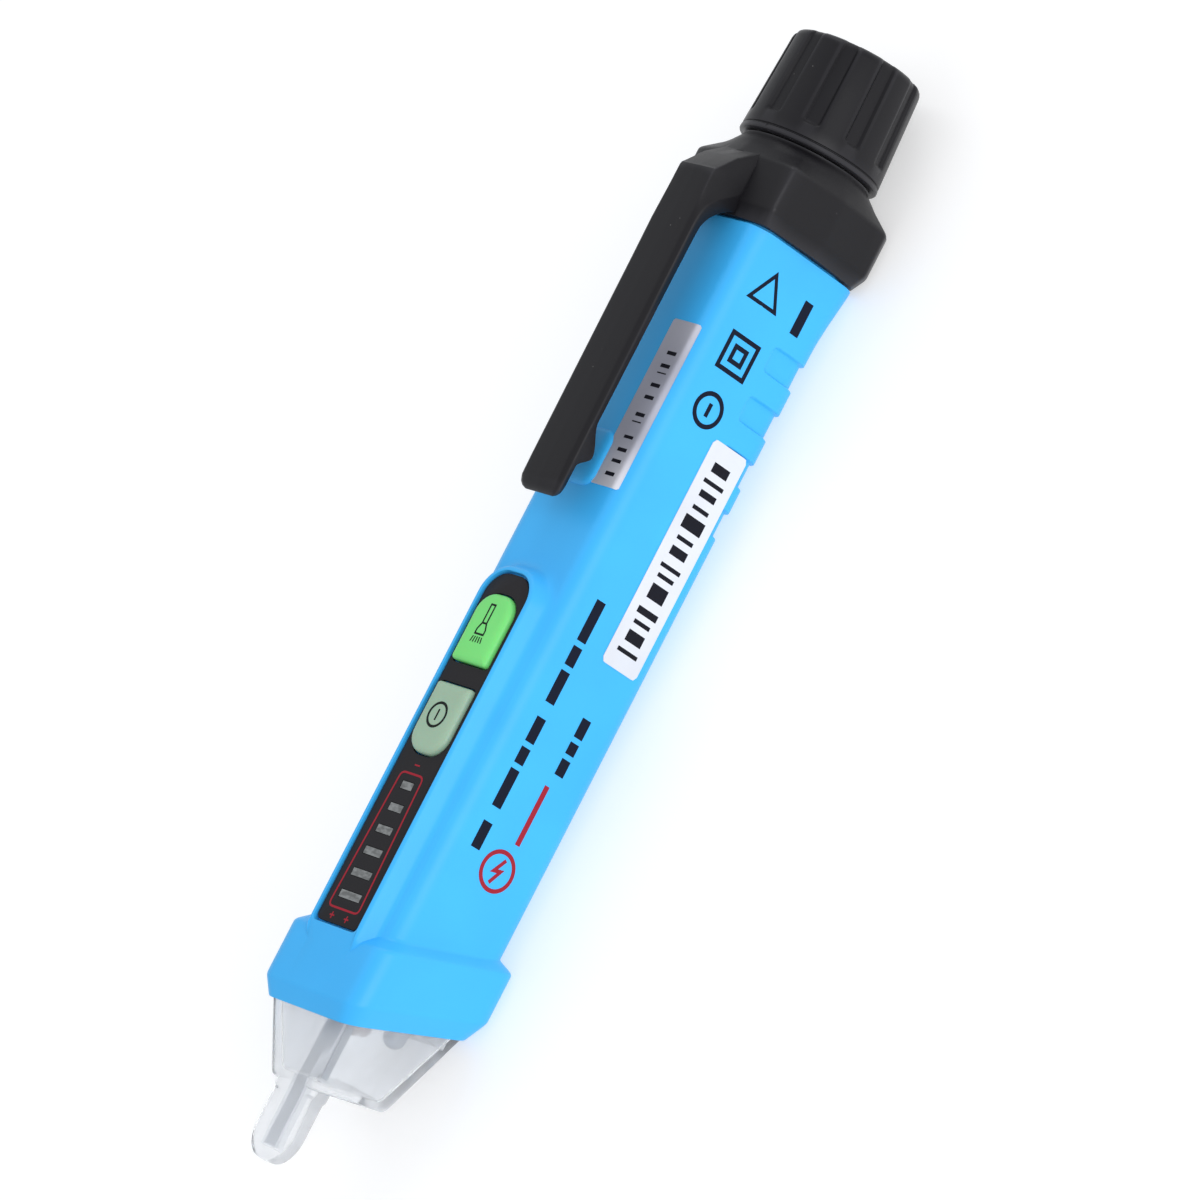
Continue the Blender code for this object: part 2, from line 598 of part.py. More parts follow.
def make_antenna():
    """Sensing strip from the probe tip to the board, and the clear rib that holds it."""
    strip_front = at(PROBE_WALL + CLEARANCE)
    strip_back = at(COLLAR_STATION + SOCKET_DEPTH)
    outline = rounded_rectangle(ANTENNA_HALF, ANTENNA_THICKNESS / 2, ANTENNA_THICKNESS / 6, PROBE_Z, 2)
    piece("probe_antenna", bar(outline, strip_front, strip_back), (0.80, 0.62, 0.40), 0.3, 1.0)
    rib_half = ANTENNA_HALF + CLEARANCE / 2
    rib_top = PROBE_Z - ANTENNA_THICKNESS / 2 - CLEARANCE
    rib_front = at(NOSE_END_STATION + 2 * NOSE_WALL + CLEARANCE)
    piece("antenna_rib", box(rib_front, at(COLLAR_STATION + SOCKET_DEPTH / 2), -rib_half, rib_half,
                             rib_top - 2 * ANTENNA_THICKNESS, rib_top), (0.82, 0.84, 0.88), 0.2)


def led_mesh(x_front, centre_y, centre_z):
    """Domed lamp pointing at the tip, with a rim at its foot."""
    radius = LED_DIAMETER / 2
    rim_front = x_front + LED_BODY_LENGTH
    profile = [(x_front + radius * along, radius * across) for along, across in LED_DOME]
    rim_radius = radius + LED_RIM
    profile += [(rim_front, radius), (rim_front, rim_radius), (rim_front + LED_RIM_LENGTH, rim_radius)]
    mesh = turned(profile, centre_z, 16)
    bmesh.ops.translate(mesh, verts=mesh.verts, vec=(0.0, centre_y, 0.0))
    return mesh


def make_lamps():
    """Red alarm lamp, white torch lamp, and the holder that stands across the nose socket."""
    holder_front = at(COLLAR_STATION + SOCKET_DEPTH / 2 + CLEARANCE)
    holder_back = at(COLLAR_STATION + SOCKET_DEPTH + COLLAR_LIP)
    half = NOSE_BASE_HALF - NOSE_WALL - CLEARANCE
    lamp_z = AXIS_Z - LED_DROP
    outline = rounded_rectangle(CAVITY_HALF - CLEARANCE, (PROBE_Z - AXIS_Z + half) / 2 - ANTENNA_THICKNESS,
                                CLEARANCE * 3, lamp_z, 3)
    item = piece("lamp_holder", bar(outline, holder_front, holder_back), (0.80, 0.81, 0.82), 0.5)
    lamp_front = holder_front - LED_DIAMETER
    lamps = (("alarm_lamp", 1, (0.75, 0.10, 0.08)), ("torch_lamp", -1, (0.93, 0.94, 0.90)))
    for name, side, colour in lamps:
        seat_radius = LED_DIAMETER / 2 + LED_RIM + CLEARANCE
        seat = turned([(holder_front - CLEARANCE * 4, seat_radius), (holder_back + CLEARANCE * 4, seat_radius)],
                      lamp_z, 16)
        bmesh.ops.translate(seat, verts=seat.verts, vec=(0.0, side * LED_SPREAD, 0.0))
        cut(item, name + "_seat", seat)
        piece(name, led_mesh(lamp_front, side * LED_SPREAD, lamp_z), colour, 0.15)


# ---------------------------------------------------------------- board and what it carries
def make_board():
    """Long circuit board over the batteries, with its chip, sounder and switches."""
    half = CAVITY_HALF - BARREL_CORNER / 2
    x_front = at(BARREL_STATION)
    piece("main_board", box(x_front, at(PANEL_END_STATION), -half, half, BOARD_BOTTOM, BOARD_TOP),
          (0.03, 0.22, 0.10), 0.45)
    for name in BUTTONS:
        station = button_station(name) + BUTTON_LENGTH / 2
        body_top = (COMPONENT_BASE + SWITCH_TOP) / 2
        radius = LED_DIAMETER / 2
        body = box(at(station) - radius, at(station) + radius, -radius, radius, COMPONENT_BASE, body_top)
        item = piece(name + "_switch", body, (0.20, 0.20, 0.22), 0.4)
        stem = plan_outline(at(station) - radius / 2, at(station) + radius / 2, radius / 2,
                            radius * 0.45, radius * 0.45, 3)
        fuse(item, name + "_stem", slab(stem, (COMPONENT_BASE + body_top) / 2, SWITCH_TOP))
    for index in range(LEVEL_COUNT):
        middle = at(LEVEL_FIRST_STATION + index * LEVEL_PITCH)
        reach = LEVEL_BAR_LENGTH / 2
        chip = box(middle - reach, middle + reach, -LEVEL_BAR_LENGTH, LEVEL_BAR_LENGTH,
                   COMPONENT_BASE, COMPONENT_BASE + LEVEL_LAMP_HEIGHT)
        piece("level_lamp_%d" % (index + 1), chip, (0.85, 0.80, 0.55), 0.3)
    chip_front = at(LEVEL_LAST_STATION + LEVEL_PITCH / 2) + CLEARANCE
    chip_length = at(POWER_STATION) - chip_front
    piece("controller_chip", box(chip_front, chip_front + chip_length, -half / 2, half / 2,
                                 COMPONENT_BASE, COMPONENT_BASE + BOARD_THICKNESS), (0.03, 0.03, 0.035), 0.5)


def make_sounder():
    """Flat round sounder across the barrel, in front of the batteries."""
    radius = BATTERY_DIAMETER / 2
    x_front = at(BARREL_STATION) + CLEARANCE
    outline = circle(radius, BATTERY_Z, 24)
    item = piece("sounder", bar(outline, x_front, x_front + FRONT_BAY * 0.45), (0.04, 0.04, 0.045), 0.4)
    cut(item, "sound_hole", turned([(x_front - CLEARANCE, radius / 5), (x_front + FRONT_BAY * 0.2, radius / 5)],
                                   BATTERY_Z, 12))


def make_light_guide():
    """Six-bar light guide that carries each level lamp up through the panel."""
    margin = LEVEL_BAR_LENGTH / 2
    base_half = BUTTON_HALF
    base_low = COMPONENT_BASE + LEVEL_LAMP_HEIGHT + CLEARANCE
    item = piece("level_light_guide",
                 box(at(LEVEL_FIRST_STATION - margin), at(LEVEL_LAST_STATION + margin),
                     -base_half, base_half, base_low, CONSOLE_CEILING - CLEARANCE), (0.42, 0.45, 0.44), 0.25)
    bars = [level_bar(index, 0.0, base_low + CLEARANCE, PANEL_TOP) for index in range(LEVEL_COUNT)]
    fuse(item, "level_bars", joined(bars))


def level_bar(index, margin, z_low, z_high):
    """One bar of the level scale; the bars grow wider towards the tip."""
    share = 1 - index / (LEVEL_COUNT - 1)
    half = (LEVEL_WIDTH_SMALL + (LEVEL_WIDTH_LARGE - LEVEL_WIDTH_SMALL) * share) / 2 + margin
    middle = at(LEVEL_FIRST_STATION + index * LEVEL_PITCH)
    reach = LEVEL_BAR_LENGTH / 2 + margin
    return box(middle - reach, middle + reach, -half, half, z_low, z_high)


def make_panel():
    """Thin dark panel in the console's seat, open for the buttons and the level bars."""
    outline = plan_outline(at(PANEL_STATION), at(PANEL_END_STATION), PANEL_HALF,
                           PANEL_FRONT_RADIUS, PANEL_END_RADIUS - CLEARANCE)
    item = piece("panel_overlay", slab(outline, PANEL_BOTTOM, PANEL_TOP), (0.022, 0.020, 0.024), 0.35)
    holes = [slab(button_outline(name, CLEARANCE), RECESS_FLOOR, CONSOLE_TOP) for name in BUTTONS]
    holes += [level_bar(index, CLEARANCE / 2, RECESS_FLOOR, CONSOLE_TOP) for index in range(LEVEL_COUNT)]
    cut(item, "panel_openings", joined(holes))


# ---------------------------------------------------------------- buttons
BUTTONS = {
    "power": {"front_radius": BUTTON_END_RADIUS, "back_radius": BUTTON_EDGE, "colour": (0.28, 0.43, 0.29)},
    "torch": {"front_radius": BUTTON_EDGE, "back_radius": BUTTON_END_RADIUS, "colour": (0.24, 0.78, 0.24)},
}


def button_station(name):
    return POWER_STATION if name == "power" else TORCH_STATION


def button_outline(name, margin, inset=0.0):
    """Plan outline of a button, with one end square and the other round."""
    shape = BUTTONS[name]
    grow = margin - inset
    station = button_station(name)
    return plan_outline(at(station) - grow, at(station + BUTTON_LENGTH) + grow, BUTTON_HALF + grow,
                        shape["front_radius"] + grow, shape["back_radius"] + grow)


def make_buttons():
    """Push buttons; each has a flange that the console keeps in."""
    for name, shape in BUTTONS.items():
        origin = (at(button_station(name) + BUTTON_LENGTH / 2), 0.0, BUTTON_TOP)
        levels = [(BUTTON_TOP - BUTTON_EDGE, 0.0), (BUTTON_TOP - BUTTON_EDGE / 3, BUTTON_EDGE / 3),
                  (BUTTON_TOP, BUTTON_EDGE * 0.9)]
        rings = [[(x, y, FLANGE_TOP - BUTTON_FLANGE / 2) for x, y in button_outline(name, 0.0)]]
        rings += [[(x, y, z) for x, y in button_outline(name, 0.0, inset)] for z, inset in levels]
        item = piece(name + "_button", loft(rings), shape["colour"], 0.4, 0.0, origin)
        flange = button_outline(name, 2 * CLEARANCE)
        fuse(item, name + "_flange", slab(flange, FLANGE_BOTTOM, FLANGE_TOP))


# ---------------------------------------------------------------- batteries and contacts
def battery_mesh(x_front):
    """Cell with its positive nub towards the tip."""
    radius = BATTERY_DIAMETER / 2
    nub = BATTERY_NUB_DIAMETER / 2
    x_body = x_front + BATTERY_NUB_LENGTH
    x_back = x_front + BATTERY_LENGTH
    edge = BATTERY_NUB_LENGTH / 2
    return turned([(x_front, nub), (x_body, nub), (x_body, radius - edge), (x_body + edge, radius),
                   (x_back - edge, radius), (x_back, radius - edge)], BATTERY_Z)


def make_batteries():
    x_front = at(BATTERY_FRONT_STATION)
    colour = (0.10, 0.10, 0.11)
    piece("battery_front", battery_mesh(x_front), colour, 0.3, 0.2)
    piece("battery_rear", battery_mesh(x_front + BATTERY_LENGTH + BATTERY_GAP), colour, 0.3, 0.2)
    radius = BATTERY_DIAMETER / 2 * 0.8
    plate_back = x_front - CLEARANCE
    piece("front_contact", turned([(plate_back - BOARD_THICKNESS, radius), (plate_back, radius)], BATTERY_Z),
          (0.80, 0.78, 0.70), 0.3, 1.0)


def make_carrier():
    """Trough under the batteries, with a wall across its front that holds the contact plate."""
    half = CAVITY_HALF - CLEARANCE
    x_wall = at(BATTERY_FRONT_STATION) - BOARD_THICKNESS - 2 * CLEARANCE - CARRIER_FLOOR
    x_back = at(BATTERY_END_STATION - REAR_SPACE) - CLEARANCE
    outline = rounded_rectangle(half, (BATTERY_Z - CARRIER_BOTTOM) / 2, BARREL_CORNER / 2 - CLEARANCE,
                                (BATTERY_Z + CARRIER_BOTTOM) / 2, 3)
    item = piece("battery_carrier", bar(outline, x_wall, x_back), (0.72, 0.73, 0.74), 0.55)
    trough = circle(BATTERY_DIAMETER / 2 + CLEARANCE, BATTERY_Z, 32)
    cut(item, "battery_trough", bar(trough, x_wall + CARRIER_FLOOR, x_back + CARRIER_FLOOR))


def coil_mesh(x_wide, x_narrow):
    """Cone-shaped contact spring wound about the battery axis."""
    steps = int(SPRING_TURNS * 14)
    rings = []
    for step in range(steps + 1):
        share = step / steps
        angle = 2 * math.pi * SPRING_TURNS * share
        radius = SPRING_LARGE_RADIUS + (SPRING_SMALL_RADIUS - SPRING_LARGE_RADIUS) * share
        x = x_wide + (x_narrow - x_wide) * share
        ring = []
        for corner in range(6):
            turn = math.pi / 3 * corner
            reach = radius + SPRING_WIRE / 2 * math.cos(turn)
            ring.append((x + SPRING_WIRE / 2 * math.sin(turn), reach * math.cos(angle),
                         BATTERY_Z + reach * math.sin(angle)))
        rings.append(ring)
    return loft(rings)


# ---------------------------------------------------------------- tail cap
def tail_outline(half, corner_pull=0.0):
    """Eight-sided section with shallow roofs on its top and sides and a flat back."""
    side = half - corner_pull
    corner_y = side - TAIL_SIDE_BULGE
    corner_z = side - TAIL_TOP_BULGE
    shelf_y = corner_y - TAIL_TOP_BULGE
    corners = [(side, 0.0), (corner_y, corner_z), (CLIP_HALF, side - TAIL_TOP_BULGE / 4), (0.0, side),
               (-CLIP_HALF, side - TAIL_TOP_BULGE / 4), (-corner_y, corner_z), (-side, 0.0),
               (-corner_y, -corner_z), (-shelf_y, -side), (0.0, -side), (shelf_y, -side), (corner_y, -corner_z)]
    return corners


def tail_ring(half, blend, steps=2):
    """Ring points of the tail section, moved towards a circle as blend goes from 0 to 1."""
    corners = tail_outline(half)
    points = []
    for index, (y, z) in enumerate(corners):
        next_y, next_z = corners[(index + 1) % len(corners)]
        for step in range(steps):
            share = step / steps
            edge_y = y + (next_y - y) * share
            edge_z = z + (next_z - z) * share
            reach = math.hypot(edge_y, edge_z)
            scale = (1 - blend) + blend * TAIL_NECK_RADIUS / reach
            points.append((edge_y * scale, AXIS_Z + edge_z * scale))
    return points


def make_tail_housing():
    """Pull-off battery cap with the clip's root block on its top face."""
    front = at(TAIL_STATION)
    crease = front + TAIL_BEVEL_LENGTH
    cone = at(TAIL_END_STATION) - TAIL_CONE_LENGTH
    back = at(TAIL_END_STATION)
    item = piece("tail_housing", loft([
        section(tail_ring(TAIL_HALF - TAIL_NOSE_BEVEL, 0.0), front),
        section(tail_ring(TAIL_HALF, 0.0), crease),
        section(tail_ring(TAIL_HALF, 0.0), cone),
        section(tail_ring(TAIL_HALF, TAIL_CONE_BLEND), cone + TAIL_CONE_LENGTH * TAIL_CONE_SHARE),
        section(tail_ring(TAIL_HALF, 1.0), back)]), (0.028, 0.027, 0.032), 0.4)
    ramp_low = AXIS_Z + TAIL_HALF - TAIL_TOP_BULGE
    root = [(front, ramp_low - BARREL_WALL), (front, AXIS_Z + CLIP_RISE - CLIP_CHAMFER),
            (front + CLIP_SHELF_LENGTH, AXIS_Z + CLIP_RISE - CLIP_CHAMFER),
            (front + CLIP_RAMP_LENGTH, ramp_low), (front + CLIP_RAMP_LENGTH, ramp_low - BARREL_WALL)]
    fuse(item, "clip_root", loft([[(x, side * CLIP_HALF, z) for x, z in root] for side in (1, -1)]))
    face_end = front + CLIP_RAMP_LENGTH - CLIP_FACE_SETBACK
    ridge = [(front, ramp_low), (front, AXIS_Z + CLIP_RISE),
             (front + CLIP_SHELF_LENGTH - CLIP_FACE_SETBACK, AXIS_Z + CLIP_RISE),
             (face_end, ramp_low + CLIP_CHAMFER / 2), (face_end, ramp_low)]
    fuse(item, "clip_root_face", loft([[(x, side * CLIP_FACE_HALF, z) for x, z in ridge] for side in (1, -1)]))
    socket_half = SPIGOT_HALF + CLEARANCE
    socket = rounded_rectangle(socket_half, socket_half, BARREL_CORNER - SPIGOT_STEP / 2, AXIS_Z)
    socket_back = at(TAIL_STATION) + SPIGOT_LENGTH + CLEARANCE
    cut(item, "spigot_socket", bar(socket, front - SPIGOT_LENGTH, socket_back))
    chamber_back = tail_chamber_back()
    cut(item, "tail_chamber", turned([(socket_back - CLEARANCE, POT_RADIUS + CLEARANCE),
                                      (chamber_back, POT_RADIUS + CLEARANCE)], AXIS_Z))
    cut(item, "shaft_hole", turned([(chamber_back - TAIL_WALL, SHAFT_RADIUS + SHAFT_CLEARANCE),
                                    (back + TAIL_WALL, SHAFT_RADIUS + SHAFT_CLEARANCE)], AXIS_Z))


def tail_chamber_back():
    """World x of the end of the chamber that holds the potentiometer."""
    return at(TAIL_STATION) + SPIGOT_LENGTH + 2 * CLEARANCE + POT_LENGTH


def make_tail_inside():
    """Contact spring, contact board and potentiometer carried by the tail cap."""
    pot_back = tail_chamber_back() - CLEARANCE
    pot_front = pot_back - POT_LENGTH
    board_back = pot_front - CLEARANCE
    board_front = board_back - TAIL_BOARD_THICKNESS
    piece("tail_board", turned([(board_front, BATTERY_DIAMETER / 2 - CLEARANCE),
                                (board_back, BATTERY_DIAMETER / 2 - CLEARANCE)], BATTERY_Z),
          (0.03, 0.22, 0.10), 0.45)
    spring_wide = board_front - CLEARANCE - SPRING_WIRE / 2
    spring_narrow = at(BATTERY_END_STATION) + CLEARANCE + SPRING_WIRE / 2
    piece("contact_spring", coil_mesh(spring_wide, spring_narrow), (0.80, 0.78, 0.70), 0.25, 1.0)
    item = piece("potentiometer", turned([(pot_front, POT_RADIUS), (pot_back, POT_RADIUS)], AXIS_Z),
                 (0.16, 0.16, 0.18), 0.4, 0.6)
    cut(item, "pot_bore", turned([(pot_front + POT_LENGTH / 3, SHAFT_RADIUS + SHAFT_CLEARANCE),
                                  (pot_back + POT_LENGTH, SHAFT_RADIUS + SHAFT_CLEARANCE)], AXIS_Z))


def spigot_outline(inset):
    """Cross-section that lies inset inside the spigot's skin."""
    half = SPIGOT_HALF - inset
    return rounded_rectangle(half, half, BARREL_CORNER - SPIGOT_STEP / 2 - inset, AXIS_Z)


def tube(outer, inner, x_front, x_back):
    """Straight tube between two outlines that have the same number of points."""
    mesh = bmesh.new()
    loops = [[mesh.verts.new(point) for point in section(outline, x)]
             for outline, x in ((outer, x_front), (outer, x_back), (inner, x_back), (inner, x_front))]
    for first, second in zip(loops, loops[1:] + loops[:1]):
        for index in range(len(first)):
            following = (index + 1) % len(first)
            mesh.faces.new((first[index], first[following], second[following], second[index]))
    bmesh.ops.recalc_face_normals(mesh, faces=mesh.faces)
    return mesh


def make_seal(barrel):
    """Rubber ring in a groove round the spigot's root, just inside the tail cap."""
    x_front = at(BARREL_END_STATION) + 3 * CLEARANCE
    x_back = x_front + SEAL_WIDTH
    cut(barrel, "seal_groove", tube(spigot_outline(-SPIGOT_STEP), spigot_outline(SEAL_DEPTH),
                                    x_front - CLEARANCE, x_back + CLEARANCE))
    ring = tube(spigot_outline(-SEAL_PROUD), spigot_outline(SEAL_DEPTH - CLEARANCE), x_front, x_back)
    piece("seal_ring", ring, (0.02, 0.02, 0.02), 0.7)


# ---------------------------------------------------------------- clip
def clip_outline(face_z, foot_z, narrow=0.0):
    """Six-sided clip section: a slightly roofed face, chamfers and flanks that lean in."""
    chamfer = CLIP_CHAMFER
    face = CLIP_FACE_HALF - narrow
    widest = CLIP_HALF - narrow
    foot = CLIP_FOOT_HALF - narrow
    return [(widest, face_z - chamfer), (face, face_z), (0.0, face_z + chamfer / 8), (-face, face_z),
            (-widest, face_z - chamfer), (-foot, foot_z), (foot, foot_z)]


def make_clip():
    """Pocket clip arm from the tail cap's front to a beaded tip over the barrel."""
    root = at(TAIL_STATION) - CLEARANCE
    tip = root - CLIP_LENGTH
    foot_z = BARREL_TOP + CLIP_GAP
    root_z = BARREL_TOP + CLIP_ROOT_RISE
    face_z = AXIS_Z + CLIP_RISE - CLIP_CHAMFER / 8
    tip_face_z = AXIS_Z + CLIP_TIP_RISE - CLIP_CHAMFER / 8
    rings = []
    for turn in CLIP_ROOT_TURNS:
        angle = math.radians(turn)
        foot = foot_z - (foot_z - root_z) * (1 - math.sin(angle))
        rings.append(section(clip_outline(face_z, foot), root - CLIP_FILLET * (1 - math.cos(angle))))
    tip_start = tip + CLIP_TIP_RADIUS
    rings.append(section(clip_outline(tip_face_z, foot_z), tip_start))
    for along, narrow, drop, lift in CLIP_TIP_STEPS:
        outline = clip_outline(tip_face_z - CLIP_CHAMFER * drop, foot_z + CLIP_CHAMFER * lift,
                               CLIP_TIP_RADIUS * narrow)
        rings.append(section(outline, tip + CLIP_TIP_RADIUS * along))
    pivot = (at(TAIL_STATION) - CLEARANCE / 2, 0.0, AXIS_Z + CLIP_RISE)
    item = piece("pocket_clip", loft(rings), (0.028, 0.027, 0.032), 0.4, 0.0, pivot)
    bead = []
    bead_front = tip + BEAD_INSET
    for step in range(BEAD_STEPS + 1):
        share = step / BEAD_STEPS
        depth = BEAD_DEPTH * math.sin(math.pi * share) ** BEAD_FULLNESS
        bead.append((bead_front + BEAD_LENGTH * share, foot_z - depth))
    lid = [(bead_front + BEAD_LENGTH, foot_z + CLIP_CHAMFER), (bead_front, foot_z + CLIP_CHAMFER)]
    fuse(item, "clip_bead", loft([[(x, side * BEAD_HALF, z) for x, z in bead + lid] for side in (1, -1)]))


# ---------------------------------------------------------------- knob
def knob_ring(x, radius, depth):
    """Knob section whose flutes are depth deep."""
    flute_turn = FLUTE_WIDTH / KNOB_BASE_RADIUS
    pitch = 2 * math.pi / FLUTE_COUNT
    wall = flute_turn * FLUTE_SIDE_SHARE
    points = []
    for index in range(FLUTE_COUNT):
        middle = index * pitch
        half = flute_turn / 2
        land = (pitch - flute_turn) / 3
        stops = [(middle - half, 0.0), (middle - half + wall, depth), (middle, depth),
                 (middle + half - wall, depth), (middle + half, 0.0),
                 (middle + half + land, 0.0), (middle + half + 2 * land, 0.0)]
        for angle, drop in stops:
            points.append((x, (radius - drop) * math.cos(angle), AXIS_Z + (radius - drop) * math.sin(angle)))
    return points


def make_knob():
    """Fluted sensitivity knob, hollow at its front, pressed on its shaft."""
    front = at(KNOB_STATION)
    back = front + KNOB_LENGTH
    span = KNOB_END_RADIUS - KNOB_BASE_RADIUS

    def radius_at(x):
        return KNOB_BASE_RADIUS + span * (x - front) / KNOB_LENGTH

    flute_front = front + FLUTE_START
    edge_front = back - KNOB_EDGE
    rings = [
        knob_ring(front, radius_at(front), 0.0),
        knob_ring(flute_front, radius_at(flute_front), 0.0),
        knob_ring(flute_front + FLUTE_DEPTH, radius_at(flute_front + FLUTE_DEPTH), FLUTE_DEPTH),
        knob_ring(edge_front, radius_at(edge_front), FLUTE_DEPTH),
    ]
    for along, rounding, depth in KNOB_EDGE_STEPS:
        x = back - KNOB_EDGE * along
        rings.append(knob_ring(x, radius_at(x) - KNOB_EDGE * rounding, FLUTE_DEPTH * depth))
    axis = (front, 0.0, AXIS_Z)
    item = piece("sensitivity_knob", loft(rings), (0.030, 0.029, 0.034), 0.4, 0.0, axis)
    hollow_radius = KNOB_END_RADIUS - KNOB_WALL
    hollow = turned([(front - KNOB_WALL, hollow_radius), (back - KNOB_WALL, hollow_radius)], AXIS_Z)
    cut(item, "knob_hollow", hollow)
    hub_radius = SHAFT_RADIUS + KNOB_WALL
    hub = turned([(front + CLEARANCE, hub_radius), (back - KNOB_WALL / 2, hub_radius)], AXIS_Z)
    fuse(item, "knob_hub", hub)
    seat_back = front + SHAFT_SEAT + CLEARANCE
    cut(item, "shaft_seat", turned([(front - KNOB_WALL, SHAFT_RADIUS + CLEARANCE),
                                    (seat_back, SHAFT_RADIUS + CLEARANCE)], AXIS_Z))
    shaft_front = tail_chamber_back() - CLEARANCE - POT_LENGTH * 2 / 3 + CLEARANCE
    piece("knob_shaft", turned([(shaft_front, SHAFT_RADIUS), (front + SHAFT_SEAT, SHAFT_RADIUS)], AXIS_Z),
          (0.62, 0.62, 0.64), 0.3, 1.0, axis)


# ---------------------------------------------------------------- build
def clear_scene():
    for item in list(bpy.data.objects):
        bpy.data.objects.remove(item, do_unlink=True)


def main():
    clear_scene()
    barrel = make_barrel()
    make_seal(barrel)
    make_labels()
    make_nose()
    make_antenna()
    make_lamps()
    make_board()
    make_sounder()
    make_light_guide()
    make_panel()
    make_buttons()
    make_batteries()
    make_carrier()
    make_tail_housing()
    make_tail_inside()
    make_clip()
    make_knob()


main()
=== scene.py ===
"""Finished surfaces of a pen-shaped non contact voltage tester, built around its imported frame.

Shapes are worked out in pen millimetres: x counts from the probe tip, y and z from the pen's axis,
with +z towards the control panel and the clip, and -y towards the labelled side.
"""
import math

import bmesh
import bpy
from bpy.props import FloatProperty, FloatVectorProperty, IntProperty, PointerProperty
from bpy.types import Operator, Panel, PropertyGroup
from mathutils import Matrix, Vector

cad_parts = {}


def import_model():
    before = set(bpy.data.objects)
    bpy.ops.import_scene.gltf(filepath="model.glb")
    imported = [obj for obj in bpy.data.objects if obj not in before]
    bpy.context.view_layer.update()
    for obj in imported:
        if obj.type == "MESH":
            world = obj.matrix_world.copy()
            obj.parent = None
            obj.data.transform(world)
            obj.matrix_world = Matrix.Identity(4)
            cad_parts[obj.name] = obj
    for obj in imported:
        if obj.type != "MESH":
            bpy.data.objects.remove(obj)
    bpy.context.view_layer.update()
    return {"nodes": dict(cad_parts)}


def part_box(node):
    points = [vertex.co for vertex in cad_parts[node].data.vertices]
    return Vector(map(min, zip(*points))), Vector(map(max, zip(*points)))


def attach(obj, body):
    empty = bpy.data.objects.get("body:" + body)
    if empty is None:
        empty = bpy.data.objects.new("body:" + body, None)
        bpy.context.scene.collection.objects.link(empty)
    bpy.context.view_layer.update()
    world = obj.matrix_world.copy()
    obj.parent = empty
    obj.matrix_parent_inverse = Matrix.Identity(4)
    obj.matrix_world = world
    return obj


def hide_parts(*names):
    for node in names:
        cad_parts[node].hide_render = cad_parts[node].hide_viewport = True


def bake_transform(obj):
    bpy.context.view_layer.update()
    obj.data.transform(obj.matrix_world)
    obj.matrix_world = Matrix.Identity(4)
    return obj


bl_info = {
    "name": "Voltage Tester Pen",
    "version": (1, 0, 0),
    "blender": (4, 5, 0),
    "location": "3D View > Sidebar > Tester",
    "description": "Builds the finished surfaces of a non contact voltage tester around its packed frame",
    "category": "Object",
}

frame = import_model()
MM = 0.001
TIP_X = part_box("nose_cone")[0].x
AXIS_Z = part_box("barrel")[1].y


def pen_box(node):
    """Lowest and highest corner of a node at rest, in pen millimetres."""
    return [Vector(((p.x - TIP_X) / MM, p.y / MM, (p.z - AXIS_Z) / MM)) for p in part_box(node)]


BARREL_BOX = pen_box("barrel")
PANEL_BOX = pen_box("panel_overlay")
CAP_BOX = pen_box("tail_housing")
CLIP_BOX = pen_box("pocket_clip")
KNOB_BOX = pen_box("sensitivity_knob")
SIDE_LABEL_BOX = pen_box("side_label")
CORNER_LABEL_BOX = pen_box("corner_label")
GUIDE_BOX = pen_box("level_light_guide")
BUTTON_BOXES = {"power": pen_box("power_button"), "torch": pen_box("torch_button")}
LAMP_BOXES = {name: pen_box(name) for name in ("alarm_lamp", "torch_lamp")}

COLLAR_HALF = BARREL_BOX[1].y
COLLAR_FRONT = 17.85
FRONT_SLOPE = 0.335
BACK_SLOPE = 0.295
NOSE_SLOPE = 0.183
SOCKET_HALF = 9.55
LIP_HALF = 9.12
NOSE_SHOULDER = COLLAR_FRONT + 1.2
SOCKET_END = 24.8
CAVITY_HALF = 7.4
BORE_RADIUS = 5.55
BARREL_START = 29.4
BARREL_END = CAP_BOX[0].x - 0.3
SPIGOT_HALF = 8.0
SPIGOT_END = BARREL_BOX[1].x
FLARE_START = BARREL_END - 9.0
FLARE_DROP = 1.1
BUTTON_FLANGE = 0.6
CLEARANCE = 0.3
SOCKET_CORNER = 2.5
CAVITY_CORNER = 1.5
BORE_START = BARREL_END - 3.0
BORE_DROP = 0.3
RIM_BEVEL = 0.1
RIM_SHRINK = 0.985
# Colour of the painted highlight on the black mouldings' convex edges.
BLACK_EDGE_HIGHLIGHT = (0.034, 0.033, 0.038)
PANEL_INK = (-0.01, 0.02)
BUTTON_INK = (-0.02, 0.012)
LABEL_INK = (0.085, 0.105)
LABEL_PARTS = 6


# ---------------------------------------------------------------- shader expressions
class Socket:
    """A shader output that adds a Math node for each operator used on it."""

    def __init__(self, finish, link):
        self.finish = finish
        self.link = link

    def math(self, operation, *values):
        return self.finish.node("ShaderNodeMath", {"operation": operation}, dict(enumerate(values)))

    def __add__(self, other):
        return self.math("ADD", self, other)

    def __sub__(self, other):
        return self.math("SUBTRACT", self, other)

    def __rsub__(self, other):
        return self.math("SUBTRACT", other, self)

    def __mul__(self, other):
        return self.math("MULTIPLY", self, other)

    __radd__ = __add__
    __rmul__ = __mul__


